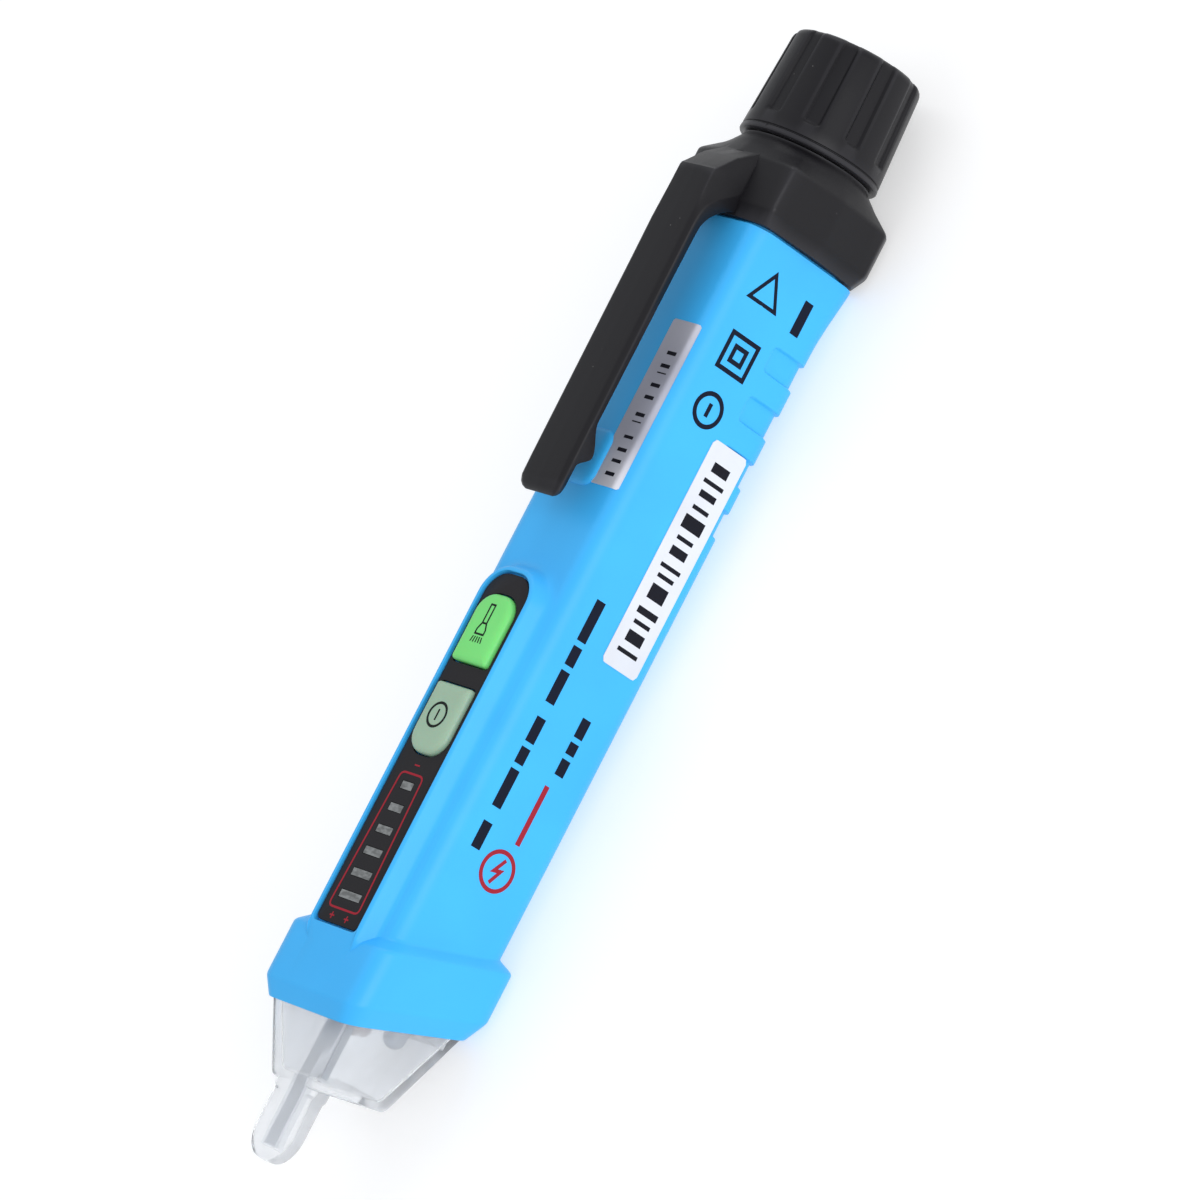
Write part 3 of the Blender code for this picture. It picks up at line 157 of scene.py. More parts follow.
class Finish:
    """A material with one Principled shader and the nodes that vary its surface."""

    def __init__(self, name, colour, **constants):
        self.material = bpy.data.materials.new(name)
        self.material.use_nodes = True
        self.material.diffuse_color = (*colour, 1.0)
        self.tree = self.material.node_tree
        self.shader = self.tree.nodes["Principled BSDF"]
        for key, value in constants.items():
            self.put(key.replace("_", " ").title().replace("Ior", "IOR"), value)
        self.place = self.node("ShaderNodeTexCoord", {}, {}, "Object")

    def node(self, kind, settings, inputs, output=0):
        """Adds one node: its settings first, then its sockets' values or links."""
        item = self.tree.nodes.new(kind)
        for key, value in settings.items():
            setattr(item, key, value)
        for key, value in inputs.items():
            self.feed(item.inputs[key], value)
        return Socket(self, item.outputs[output])

    def feed(self, socket, value):
        if isinstance(value, Socket):
            self.tree.links.new(value.link, socket)
        elif socket.type == "RGBA" and len(value) == 3:
            socket.default_value = (*value, 1.0)
        else:
            socket.default_value = value

    def put(self, name, value):
        """Sets or links one of the shader's own sockets."""
        self.feed(self.shader.inputs[name], value)

    def stretched(self, stretch):
        if stretch is None:
            return self.place
        return self.node("ShaderNodeMapping", {}, {"Vector": self.place, "Scale": stretch})

    def noise(self, size, detail=2.0, rough=0.5, stretch=None):
        """Soft noise whose features are about size millimetres across."""
        return self.node("ShaderNodeTexNoise", {}, {"Vector": self.stretched(stretch), "Scale": 1 / (size * MM),
                                                    "Detail": detail, "Roughness": rough})

    def cells(self, size, stretch=None):
        """Distance to the nearest of points scattered about size millimetres apart."""
        return self.node("ShaderNodeTexVoronoi", {}, {"Vector": self.stretched(stretch), "Scale": 1 / (size * MM)})

    def ease(self, value, low, high, start=0.0, end=1.0):
        return self.node("ShaderNodeMapRange", {"interpolation_type": "SMOOTHSTEP"},
                         {"Value": value, "From Min": low, "From Max": high, "To Min": start, "To Max": end})

    def mix(self, factor, first, second):
        return self.node("ShaderNodeMix", {"data_type": "RGBA"}, {0: factor, 6: first, 7: second}, 2)

    def bump(self, height, depth, strength=1.0):
        """Relief of depth millimetres."""
        normal = self.node("ShaderNodeBump", {}, {"Strength": strength, "Distance": depth * MM, "Height": height})
        self.put("Normal", normal)

    def edges(self, low=0.51, high=0.56):
        """1 on convex edges and 0 on flat faces."""
        return self.ease(self.node("ShaderNodeNewGeometry", {}, {}, "Pointiness"), low, high)

    def axis(self, index):
        return self.node("ShaderNodeSeparateXYZ", {}, {0: self.place}, index)


def shaded(colour, factor):
    """A colour made darker or lighter."""
    return tuple(min(1.0, part * factor) for part in colour)


# ---------------------------------------------------------------- finishes
def moulded(name, colour, rough=0.4, grain=0.10, depth=0.012, dust=0.0, scuff=0.0, edge=None, **constants):
    """Moulded plastic with a fine spark-eroded grain, a faint cloudiness, dust, scuffs and a painted highlight on
    convex edges, with a little rubbed wear.
    """
    finish = Finish(name, colour, **constants)
    cloud = finish.noise(14.0, 2.0)
    fine = finish.noise(grain, 3.0, 0.6)
    base = finish.mix(finish.ease(cloud, 0.3, 0.7), shaded(colour, 0.965), shaded(colour, 1.03))
    roughness = fine * 0.10 + cloud * 0.08 + (rough - 0.09)
    # Painted highlight: convex edges are painted lighter in the edge colour, standing in for the light the edges
    # catch; the lower roughness there is rubbed wear.
    if edge:
        edge_highlight_and_wear = finish.edges() * (cloud * 0.6 + 0.6)
        base = finish.mix(edge_highlight_and_wear, base, edge)
        roughness = roughness - edge_highlight_and_wear * 0.06
    if scuff:
        rub = finish.ease(finish.noise(2.4, 5.0, 0.65, (0.22, 1.0, 1.0)), 0.60, 0.80)
        base = finish.mix(rub * scuff, base, shaded(colour, 2.2))
        roughness = roughness + rub * 0.10
    if dust:
        specks = 1 - finish.ease(finish.cells(1.7), 0.03, 0.055)
        kept = finish.ease(finish.noise(5.0, 1.0), 0.50, 0.60)
        base = finish.mix(specks * kept * dust, base, (0.45, 0.44, 0.43))
    finish.put("Base Color", base)
    finish.put("Roughness", roughness)
    finish.bump(fine, depth)
    return finish.material


def ink_finish(name, colour):
    """Pad-printed ink with slightly uneven cover."""
    return moulded(name, colour, 0.5, 0.08, 0.002, specular_ior_level=0.12)


def clear_polymer(colours):
    """Polished clear plastic with faint flow marks."""
    colour = colours.nose
    finish = Finish("clear_nose_finish", colour, transmission_weight=0.85, ior=1.2)
    flow = finish.noise(3.0, 3.0, 0.5, (0.35, 1.0, 1.0))
    cloud = finish.ease(flow, 0.3, 0.7)
    finish.put("Base Color", finish.mix(cloud, shaded(colour, 0.93), colour))
    finish.put("Roughness", finish.ease(finish.noise(0.8, 4.0), 0.35, 0.75, 0.12, 0.22))
    finish.bump(flow, 0.01, 0.4)
    return finish.material


def lens(name, colour, weight):
    """Diffused lamp lens."""
    finish = Finish(name, colour, transmission_weight=weight, ior=1.5)
    cloud = finish.noise(0.9, 3.0)
    finish.put("Base Color", finish.mix(cloud, shaded(colour, 0.85), colour))
    finish.put("Roughness", cloud * 0.2 + 0.08)
    return finish.material


def brushed(name, colour, rough=0.3, stretch=(0.05, 1.0, 1.0), size=0.12):
    """Metal with fine drawn lines."""
    finish = Finish(name, colour, metallic=1.0)
    lines = finish.noise(size, 3.0, 0.6, stretch)
    finish.put("Base Color", finish.mix(lines, shaded(colour, 0.82), colour))
    finish.put("Roughness", lines * 0.22 + (rough - 0.08))
    finish.bump(lines, 0.004)
    return finish.material


def film(colours):
    """Dark screen-printed panel film with a fine texture."""
    colour = colours.panel
    finish = Finish("panel_film_finish", colour, specular_ior_level=0.22)
    weave = finish.noise(0.07, 2.0)
    smear = finish.noise(6.0, 4.0, 0.6, (0.5, 1.0, 1.0))
    finish.put("Base Color", finish.mix(finish.ease(smear, 0.35, 0.75), colour, shaded(colour, 1.35)))
    finish.put("Roughness", finish.ease(smear, 0.3, 0.7, 0.36, 0.48) + weave * 0.06)
    finish.bump(weave, 0.006)
    return finish.material


def frosted_windows(colours):
    """Grey diffusing windows with darker bands from the lamps' edges beneath."""
    colour = colours.windows
    finish = Finish("level_window_finish", colour, coat_weight=0.2)
    bands = finish.ease(finish.noise(0.55, 2.0, 0.5, (1.0, 0.45, 1.0)), 0.35, 0.65)
    finish.put("Base Color", finish.mix(bands, shaded(colour, 0.55), shaded(colour, 1.15)))
    finish.put("Roughness", bands * 0.15 + 0.3)
    finish.bump(bands, 0.004)
    return finish.material


def printed_paper(name, colour, metal):
    """Label stock with fine fibres or foil streaks; the foil has a painted reflection that makes it paler towards
    both ends.
    """
    finish = Finish(name, colour, metallic=metal)
    fibre = finish.noise(0.16, 4.0, 0.7, (0.4, 1.0, 1.0))
    cloud = finish.noise(9.0, 2.0, 0.5, (0.6, 1.0, 1.0))
    base = finish.mix(finish.ease(cloud, 0.3, 0.7), shaded(colour, 0.90 - 0.25 * metal), colour)
    # Painted reflection: the foil is painted paler towards its tip end and its tail end, which leaves the middle
    # darker.
    if metal:
        low, high = (point.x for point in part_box("corner_label"))
        along = finish.axis(0)
        base = finish.mix(finish.ease(along, low, low + (high - low) * 0.35, 0.85, 0.0), base, (0.93, 0.93, 1.0))
        base = finish.mix(finish.ease(along, high - (high - low) * 0.3, high, 0.0, 0.6), base, (0.85, 0.85, 0.95))
    finish.put("Base Color", finish.mix(fibre * 0.12, base, shaded(colour, 0.75)))
    finish.put("Roughness", fibre * 0.15 + 0.34)
    finish.bump(fibre, 0.004)
    return finish.material


def board_mask(name):
    """Solder mask over copper tracks that run along the board."""
    green = (0.012, 0.16, 0.06)
    finish = Finish(name, green, coat_weight=0.4)
    tracks = finish.ease(finish.node("ShaderNodeTexWave", {"bands_direction": "Y"},
                                     {"Vector": finish.place, "Scale": 320.0, "Distortion": 1.5}), 0.45, 0.55)
    finish.put("Base Color", finish.mix(tracks, green, (0.03, 0.30, 0.11)))
    finish.put("Roughness", finish.noise(0.4) * 0.2 + 0.25)
    finish.bump(tracks, 0.03)
    return finish.material


def cell_jacket():
    """Printed battery jacket: dark with a copper-coloured band at the positive end."""
    dark = (0.018, 0.018, 0.020)
    finish = Finish("cell_jacket_finish", dark, metallic=0.35)
    along = finish.axis(0)
    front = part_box("battery_front")[0].x
    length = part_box("battery_front")[1].x - front
    share = finish.node("ShaderNodeMath", {"operation": "FRACT"}, {0: (along - front) * (1 / length)})
    band = finish.ease(share, 0.72, 0.725)
    base = finish.mix(band, dark, (0.62, 0.30, 0.10))
    finish.put("Base Color", finish.mix(finish.noise(0.3) * 0.2, base, (0.25, 0.25, 0.26)))
    finish.put("Roughness", finish.noise(0.5, 3.0) * 0.15 + 0.2)
    return finish.material


# ---------------------------------------------------------------- meshes
def world(point):
    """World place of a point in pen millimetres."""
    return (point[0] * MM + TIP_X, point[1] * MM, point[2] * MM + AXIS_Z)


def new_piece(name, mesh, material=None, angle=38.0):
    """Object from a mesh in world place, smooth but for edges sharper than angle."""
    bmesh.ops.recalc_face_normals(mesh, faces=mesh.faces)
    data = bpy.data.meshes.new(name)
    mesh.to_mesh(data)
    mesh.free()
    item = bpy.data.objects.new(name, data)
    bpy.context.scene.collection.objects.link(item)
    smooth(item, angle)
    if material:
        data.materials.append(material)
    return item


def smooth(item, angle=38.0):
    item.data.shade_smooth()
    item.data.set_sharp_from_angle(angle=math.radians(angle))


def paint(item, material):
    """Gives a piece one material in place of those it has."""
    item.data.materials.clear()
    item.data.materials.append(material)


def settle(item, body, slot, *nodes):
    """Makes a piece ride on its body and hides the nodes it stands for; slot is not used."""
    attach(item, body)
    if nodes:
        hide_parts(*nodes)
    return item


def bridge(mesh, loops, closed):
    """Faces between neighbouring loops of vertices, then caps, or faces back to the first loop."""
    pairs = list(zip(loops, loops[1:]))
    if closed:
        pairs.append((loops[-1], loops[0]))
    for first, second in pairs:
        for index in range(len(first)):
            after = (index + 1) % len(first)
            mesh.faces.new((first[index], first[after], second[after], second[index]))
    if not closed:
        mesh.faces.new(loops[0])
        mesh.faces.new(list(reversed(loops[-1])))


def loft(rings, closed=False):
    """Solid through rings of (x, y, z) pen points, capped unless its last ring joins its first."""
    mesh = bmesh.new()
    bridge(mesh, [[mesh.verts.new(world(point)) for point in ring] for ring in rings], closed)
    return mesh


def soften(points, radius, steps=4):
    """Polyline whose inner corners are replaced by curves that start radius before them."""
    result = [tuple(points[0])]
    for before, corner, after in zip(points, points[1:], points[2:]):
        before, corner, after = Vector(before), Vector(corner), Vector(after)
        into, out = before - corner, after - corner
        start = corner + into * min(0.45, radius / max(into.length, 1e-9))
        end = corner + out * min(0.45, radius / max(out.length, 1e-9))
        for step in range(steps + 1):
            share = step / steps
            result.append(tuple(start.lerp(corner, share).lerp(corner.lerp(end, share), share)))
    result.append(tuple(points[-1]))
    return result


def soft_polygon(corners, radius, steps=3, edge_steps=1):
    """Closed outline with each corner rounded and each edge split into equal parts."""
    points = []
    count = len(corners)
    for index in range(count):
        before, corner, after = (Vector(corners[(index + shift) % count]) for shift in (-1, 0, 1))
        into, out = before - corner, after - corner
        start = corner + into * min(0.4, radius / into.length)
        end = corner + out * min(0.4, radius / out.length)
        for step in range(steps + 1):
            share = step / steps
            points.append(start.lerp(corner, share).lerp(corner.lerp(end, share), share))
        next_start = after + (corner - after) * min(0.4, radius / (corner - after).length)
        for step in range(1, edge_steps):
            points.append(end.lerp(next_start, step / edge_steps))
    return [tuple(point) for point in points]


def plan_outline(front, back, half, front_radius, back_radius, steps=8):
    """(x, y) outline of a strip with its own corner radius at each end."""
    points = []
    corners = ((back, 1, back_radius, 0), (front, 1, front_radius, 1),
               (front, -1, front_radius, 2), (back, -1, back_radius, 3))
    for end, side, radius, quarter in corners:
        centre = end + (radius if end == front else -radius)
        for step in range(steps + 1):
            angle = math.pi / 2 * (quarter + step / steps)
            points.append((centre + radius * math.cos(angle), side * (half - radius) + radius * math.sin(angle)))
    return points


def stacked(levels, outline_at):
    """Solid from plan outlines at rising levels of (inset, z)."""
    return loft([[(x, y, z) for x, y in outline_at(inset)] for inset, z in levels])


def circle(x, radius, centre=(0.0, 0.0), steps=64):
    return [(x, centre[0] + radius * math.cos(2 * math.pi * step / steps),
             centre[1] + radius * math.sin(2 * math.pi * step / steps)) for step in range(steps)]


def block(low, high):
    """Plain cutter."""
    outline = [(high[0], high[1]), (low[0], high[1]), (low[0], low[1]), (high[0], low[1])]
    return loft([[(x, y, low[2]) for x, y in outline], [(x, y, high[2]) for x, y in outline]])


def carve(item, mesh, operation="DIFFERENCE"):
    """Boolean with a helper solid, applied at once."""
    helper = new_piece("helper", mesh)
    modifier = item.modifiers.new("carve", "BOOLEAN")
    modifier.operation = operation
    modifier.solver = "EXACT"
    modifier.object = helper
    apply_modifiers(item)
    old = helper.data
    bpy.data.objects.remove(helper)
    bpy.data.meshes.remove(old)


def apply_modifiers(item):
    bpy.context.view_layer.update()
    graph = bpy.context.evaluated_depsgraph_get()
    data = bpy.data.meshes.new_from_object(item.evaluated_get(graph), depsgraph=graph)
    old = item.data
    item.modifiers.clear()
    item.data = data
    data.name = item.name
    bpy.data.meshes.remove(old)


def ribbon(mesh, path, width, place, low=0.0, high=0.03, closed=False):
    """Adds a printed stroke to a mesh: a thin ribbon that follows a path on a surface."""
    count = len(path)
    rings = []
    for index, point in enumerate(path):
        here = Vector(point)
        before = Vector(path[index - 1]) if closed or index else here
        after = Vector(path[(index + 1) % count]) if closed or index < count - 1 else here
        into, out = here - before, after - here
        if into.length < 1e-9:
            into = out
        if out.length < 1e-9:
            out = into
        into, out = into.normalized(), out.normalized()
        middle = (into + out).normalized()
        side = Vector((-middle.y, middle.x)) * (width / 2 / max(0.4, middle.dot(into)))
        ring = []
        for sign, lift in ((1, low), (1, high), (-1, high), (-1, low)):
            spot = here + side * sign
            ring.append(mesh.verts.new(world(place(spot.x, spot.y, lift))))
        rings.append(ring)
    bridge(mesh, rings, closed)


def raised(top, shift_x=0.0, shift_y=0.0):
    """Maps (x, y) on a flat face at height top to a pen point."""
    return lambda x, y, lift: (x + shift_x, y + shift_y, top + lift)


def arc(centre, radius, start, end, steps=32):
    return [(centre[0] + radius * math.cos(math.radians(start + (end - start) * step / steps)),
             centre[1] + radius * math.sin(math.radians(start + (end - start) * step / steps)))
            for step in range(steps + 1)]


def ease_between(value, low, high):
    share = min(1.0, max(0.0, (value - low) / (high - low)))
    return share * share * (3 - 2 * share)


# ---------------------------------------------------------------- the barrel's skin
TOP_SHARES = (0.0, 0.2, 0.4, 0.6, 0.8)
SIDE_SHARES = (0.75, 0.5, 0.25, 0.0, -0.2, -0.27, -0.305, -0.33, -0.37, -0.5, -0.7, -0.85)
BACK_SHARES = (0.85, 0.7, 0.6, 0.55, 0.52, 0.49, 0.4, 0.2, 0.0)
CORNER_STEPS = 9


def half_section(half, corner, crown):
    """Right half of the barrel's section: (y, z, normal, wrap) from the top's middle to the back's.

    Wrap counts millimetres along the skin from the level of the axis on the side face.
    """
    flat = half - corner
    radius = corner - crown
    points = []
    for share in TOP_SHARES:
        points.append((flat * share, half - crown * share ** 2, (0.0, 1.0), -1.0))
    for step in range(CORNER_STEPS + 1):
        turn = math.pi / 2 * step / CORNER_STEPS
        normal = (math.sin(turn), math.cos(turn))
        points.append((flat + radius * normal[0], flat + radius * normal[1], normal, -1.0))
    for share in SIDE_SHARES:
        points.append((half - crown * share ** 2, flat * share, (1.0, 0.0), -flat * share))
    for step in range(CORNER_STEPS + 1):
        turn = math.pi / 2 * step / CORNER_STEPS
        normal = (math.cos(turn), -math.sin(turn))
        points.append((flat + radius * normal[0], -flat + radius * normal[1], normal, flat + radius * turn))
    for share in BACK_SHARES:
        wrap = flat + radius * math.pi / 2 + flat * (1 - share)
        points.append((flat * share, -half + crown * share ** 2, (0.0, -1.0), wrap))
    return points


def full_section(half, corner, crown):
    right = half_section(half, corner, crown)
    left = [(-y, z, (-normal[0], normal[1]), wrap) for y, z, normal, wrap in reversed(right[1:-1])]
    return right + left


def slanted_ring(x, half, corner, slope=0.0, crown=0.0):
    """Section at x on the collar's top, leaning by slope towards the tail below it."""
    return [(x + slope * (COLLAR_HALF - z), y, z) for y, z, _, _ in full_section(half, corner, crown)]


def deck(y, sizes):
    """Height of the barrel's top skin over a distance from its middle."""
    half, corner, crown = barrel_shape(sizes)
    flat = half - corner
    if abs(y) <= flat:
        return half - crown * (y / flat) ** 2
    reach = min(abs(y) - flat, (corner - crown) * 0.98)
    return flat + math.sqrt((corner - crown) ** 2 - reach ** 2)


def barrel_shape(sizes):
    return sizes.barrel_width / MM / 2, sizes.barrel_corner / MM, sizes.barrel_crown / MM


def skin(distance, lift, sizes):
    """(y, z) on the labelled side, a distance along the skin from the top's middle."""
    half, corner, crown = barrel_shape(sizes)
    flat, radius = half - corner, corner - crown
    if distance < flat:
        return -distance, half - crown * (distance / flat) ** 2 + lift
    distance -= flat
    if distance < math.pi / 2 * radius:
        turn = distance / radius
        return -flat - (radius + lift) * math.sin(turn), flat + (radius + lift) * math.cos(turn)
    z = flat - (distance - math.pi / 2 * radius)
    return -(half - crown * (z / flat) ** 2) - lift, z


def side_place(sizes):
    """Maps (x, z) on the labelled side face to a pen point."""
    half, corner, crown = barrel_shape(sizes)

    def place(x, z, lift):
        return (x, -(half - crown * (z / (half - corner)) ** 2) - lift, z)
    return place


# ---------------------------------------------------------------- barrel
GRIP_LENGTH = 3.4
GRIP_PITCH = 6.9
GRIP_LAST = BARREL_END - 13.1
GRIP_WRAP = (1.9, 13.3)
GRIP_CORNER = 0.7
GRIP_EDGE = 0.16
GRIP_SHIFTS = (-0.7, -0.4, -0.16, -0.08, 0.0, 0.08, 0.16, 0.4, 0.7)


def grip_depth(x, wrap, sizes):
    """How far the skin is sunk by the finger pockets."""
    depth = 0.0
    for index in range(sizes.grip_count):
        across = abs(x - (GRIP_LAST - index * GRIP_PITCH)) - GRIP_LENGTH / 2 + GRIP_CORNER
        along = abs(wrap - sum(GRIP_WRAP) / 2) - (GRIP_WRAP[1] - GRIP_WRAP[0]) / 2 + GRIP_CORNER
        outside = math.hypot(max(across, 0.0), max(along, 0.0)) + min(max(across, along), 0.0) - GRIP_CORNER
        depth = max(depth, 1 - ease_between(outside, -GRIP_EDGE, GRIP_EDGE))
    return depth * sizes.grip_depth / MM


def barrel_rings(sizes):
    """Rings round the outside from the socket lip to the spigot, then back through the inside."""
    half, corner, crown = barrel_shape(sizes)
    collar_crown = crown * 0.8
    outer = soften([
        (COLLAR_FRONT + 1.6, SOCKET_HALF, 2.5, FRONT_SLOPE, 0.0),
        (COLLAR_FRONT, LIP_HALF, 2.5, FRONT_SLOPE, 0.0),
        (COLLAR_FRONT + 0.05, LIP_HALF + 0.12, 2.5, FRONT_SLOPE, 0.0),
        (COLLAR_FRONT + 2.7, COLLAR_HALF, corner, FRONT_SLOPE, collar_crown),
        (BARREL_START - 1.25, COLLAR_HALF, corner, BACK_SLOPE, collar_crown),
        (BARREL_START + 0.1, half, corner, BACK_SLOPE, crown),
        (BARREL_START + 9.0, half, corner, 0.0, crown)], 0.42)
    rings = [slanted_ring(*ring) for ring in outer]
    stations = [BARREL_START + 12.0 + 6.0 * step for step in range(8)]
    for index in reversed(range(sizes.grip_count)):
        middle = GRIP_LAST - index * GRIP_PITCH
        for side in (-1, 1):
            edge = middle + side * GRIP_LENGTH / 2
            stations += [edge + shift for shift in GRIP_SHIFTS]
    first_grip = GRIP_LAST - (sizes.grip_count - 1) * GRIP_PITCH - GRIP_LENGTH
    stations = sorted(x for x in stations if x < first_grip or x > first_grip + 0.5)
    stations += [FLARE_START + share * (BARREL_END - FLARE_START) for share in (0.1, 0.4, 0.7, 0.94)]
    section = full_section(half, corner, crown)
    for x in sorted(stations):
        ring = []
        drop = FLARE_DROP * ease_between(x, FLARE_START - 1.0, BARREL_END + 4.0) * 1.35
        for y, z, normal, wrap in section:
            depth = grip_depth(x, wrap, sizes) if wrap > 0 else 0.0
            lower = drop if z < -(half - corner) else drop * ease_between(-z, 0.0, half - corner)
            ring.append((x, y - normal[0] * depth, z - normal[1] * depth - lower))
        rings.append(ring)
    last = rings[-1]
    for x, share in ((BARREL_END - RIM_BEVEL, 1.0), (BARREL_END, RIM_SHRINK)):
        rings.append([(x, y * share, z * share) for _, y, z in last])
    spigot = full_section(SPIGOT_HALF, 2.5, 0.0)
    for x, shrink in ((BARREL_END, 0.0), (SPIGOT_END - 0.5, 0.0), (SPIGOT_END, 0.35)):
        rings.append([(x, y * (1 - shrink / SPIGOT_HALF), z * (1 - shrink / SPIGOT_HALF)) for y, z, _, _ in spigot])
    for x in (SPIGOT_END, BORE_START):
        ring = []
        for y, z, _, _ in spigot:
            reach = math.hypot(y, z)
            ring.append((x, y / reach * BORE_RADIUS, z / reach * BORE_RADIUS - BORE_DROP))
        rings.append(ring)
    inside = ((BORE_START, CAVITY_HALF, CAVITY_CORNER, 0.0), (SOCKET_END + 2.0, CAVITY_HALF, CAVITY_CORNER, 0.0),
              (SOCKET_END, CAVITY_HALF, CAVITY_CORNER, FRONT_SLOPE),
              (SOCKET_END, SOCKET_HALF, SOCKET_CORNER, FRONT_SLOPE))
    return rings + [slanted_ring(*ring) for ring in inside]


CONSOLE_LEVELS = ((2.35, 0.0, 0.0), (1.85, 0.04, 0.0), (1.45, 0.14, 0.0), (1.10, 0.34, 0.1), (0.85, 0.62, 0.3),
                  (0.45, 1.35, 0.8), (0.22, 1.78, 1.0), (0.10, 1.97, 1.0), (-0.04, 2.10, 1.0), (-0.20, 2.17, 1.0),
                  (-0.34, 2.19, 1.0), (-0.46, 2.18, 1.0), (-0.53, 2.12, 1.0), (-0.55, 2.02, 1.0))

CONSOLE_RAMP = 3.2
CONSOLE_RIM = 0.55
CONSOLE_FOOT = 2.3
CONSOLE_RISE = 2.2


def console_solid(sizes):
    """Raised console with a soft valley at its foot and a sunk seat for the panel."""
    half = sizes.barrel_width / MM / 2
    rise = sizes.console_height / MM / CONSOLE_RISE
    seat_half = PANEL_BOX[1].y + CLEARANCE
    top_half = seat_half + CONSOLE_RIM
    seat_floor = PANEL_BOX[0].z - CLEARANCE
    tail = PANEL_BOX[1].x + CLEARANCE + CONSOLE_RIM
    front = PANEL_BOX[0].x - CLEARANCE
    rings = []
    ramp = CONSOLE_RAMP
    base = plan_outline(front - ramp, tail + CONSOLE_FOOT, top_half + CONSOLE_FOOT, ramp - 0.5, 5.6, 12)
    rings.append([(x, y, half - 3.2) for x, y in base])
    for spread, height, share in CONSOLE_LEVELS:
        radius = 4.1 + spread
        on_rim = spread < -0.3
        front_end = front - (CONSOLE_RIM + spread if on_rim else ramp)
        front_radius = 0.8 if on_rim else ramp - 0.5
        ring = []
        for x, y in plan_outline(front_end, tail + spread, top_half + spread, front_radius, radius, 12):
            top = deck(y, sizes) * (1 - share) + half * share
            sink = ease_between(front - 0.2 - x, 0.0, ramp - 0.2)
            ring.append((x, y, top + height * rise * (1 - sink * 0.42)))
        rings.append(ring)
    seat = plan_outline(front, tail - CONSOLE_RIM, seat_half, 0.8, 3.55, 12)
    rings.append([(x, y, seat_floor) for x, y in seat])
    return loft(rings)


def button_plan(name, grow):
    """Plan outline of a button, grown or shrunk by a distance."""
    low, high = BUTTON_BOXES[name]
    front, back = low.x + BUTTON_FLANGE, high.x - BUTTON_FLANGE
    half = high.y - BUTTON_FLANGE
    round_end, square_end = 2.8 + grow, max(0.5 + grow, 0.12)
    radii = (round_end, square_end) if name == "power" else (square_end, round_end)
    radii = [min(radius, half + grow - 0.02) for radius in radii]
    return plan_outline(front - grow, back + grow, half + grow, radii[0], radii[1])


def upright(outline, low, high):
    return loft([[(x, y, low) for x, y in outline], [(x, y, high) for x, y in outline]])


def build_barrel(context):
    sizes, colours = context.scene.tester_sizes, context.scene.tester_colours
    item = new_piece("barrel_shell", loft(barrel_rings(sizes), closed=True))
    carve(item, console_solid(sizes), "UNION")
    half = sizes.barrel_width / MM / 2
    low, high = CLIP_BOX
    pad_middle = low.x + 7.4
    levels = ((0.4, half - 1.0), (0.35, half + 0.05), (0.1, half + 0.3), (-0.25, half + 0.45), (-0.7, half + 0.52),
              (-1.2, half + 0.55))
    pad = stacked(levels, lambda grow: plan_outline(pad_middle - 3.5 - grow, pad_middle + 3.5 + grow, 2.4 + grow,
                                                    1.5 + grow, 1.5 + grow))
    carve(item, pad, "UNION")
    for name in BUTTON_BOXES:
        carve(item, upright(button_plan(name, CLEARANCE), half - 4.0, half + 4.0))
    low, high = GUIDE_BOX
    carve(item, block((low.x - CLEARANCE, -2.4, half - 4.0), (high.x + CLEARANCE, 2.4, half + 4.0)))
    smooth(item, 32.0)
    paint(item, moulded("housing_finish", tuple(colours.housing), 0.40, 0.11, 0.010, specular_ior_level=0.32))
    settle(item, "barrel", "blue_housing", "barrel")


# ---------------------------------------------------------------- nose
def blade_ring(x, half, thick, lift, steps=40):
    """Flattened oval section of the probe."""
    ring = []
    for step in range(steps):
        turn = 2 * math.pi * step / steps
        y = math.copysign(abs(math.cos(turn)) ** 0.55, math.cos(turn)) * half
        z = math.copysign(abs(math.sin(turn)) ** 0.75, math.sin(turn)) * thick
        ring.append((x, y, z + lift))
    return ring


def build_nose(context):
    sizes, colours = context.scene.tester_sizes, context.scene.tester_colours
    wall = sizes.nose_wall / MM
    tip_half = 6.0
    base_half = SOCKET_HALF - CLEARANCE
    end = SOCKET_END - CLEARANCE
    face = 9.0
    outer = soften([(face, tip_half - 1.4, 1.6, NOSE_SLOPE), (face, tip_half - 0.35, 2.3, NOSE_SLOPE),
                    (face + 0.5, tip_half, 2.5, NOSE_SLOPE), (NOSE_SHOULDER, base_half, 2.7, FRONT_SLOPE),
                    (end, base_half, 2.7, FRONT_SLOPE)], 0.35)
    rings = [slanted_ring(*ring) for ring in outer]
    rings += [slanted_ring(*ring) for ring in (
        (end, base_half - wall, 1.5, FRONT_SLOPE), (NOSE_SHOULDER, base_half - wall, 1.5, FRONT_SLOPE),
        (face + wall + 0.4, tip_half - wall, 1.2, NOSE_SLOPE),
        (face + wall, tip_half - wall - 0.4, 0.9, NOSE_SLOPE))]
    item = new_piece("nose_shell", loft(rings))
    lift = 3.8
    half, thick = 4.0, 1.8
    blade = []
    for turn in (88, 78, 66, 54, 42, 30, 20, 10, 0):
        reach, share = math.sin(math.radians(turn)), math.cos(math.radians(turn))
        blade.append(blade_ring(half * (1 - reach) + 0.001, half * (0.18 + 0.82 * share),
                                thick * (0.25 + 0.75 * share ** 0.6), lift))
    blade += [blade_ring(8.9, half, thick, lift), blade_ring(9.3, half + 0.25, thick + 0.2, lift),
              blade_ring(face + 1.9, half + 0.3, thick + 0.22, lift)]
    carve(item, loft(blade), "UNION")
    low, high = pen_box("probe_antenna")
    carve(item, block((low.x - 0.3, low.y - 0.25, low.z - 0.25), (face + 3.2, high.y + 0.25, high.z + 0.25)))
    smooth(item, 28.0)
    paint(item, clear_polymer(colours))
    settle(item, "barrel", "clear_nose", "nose_cone")


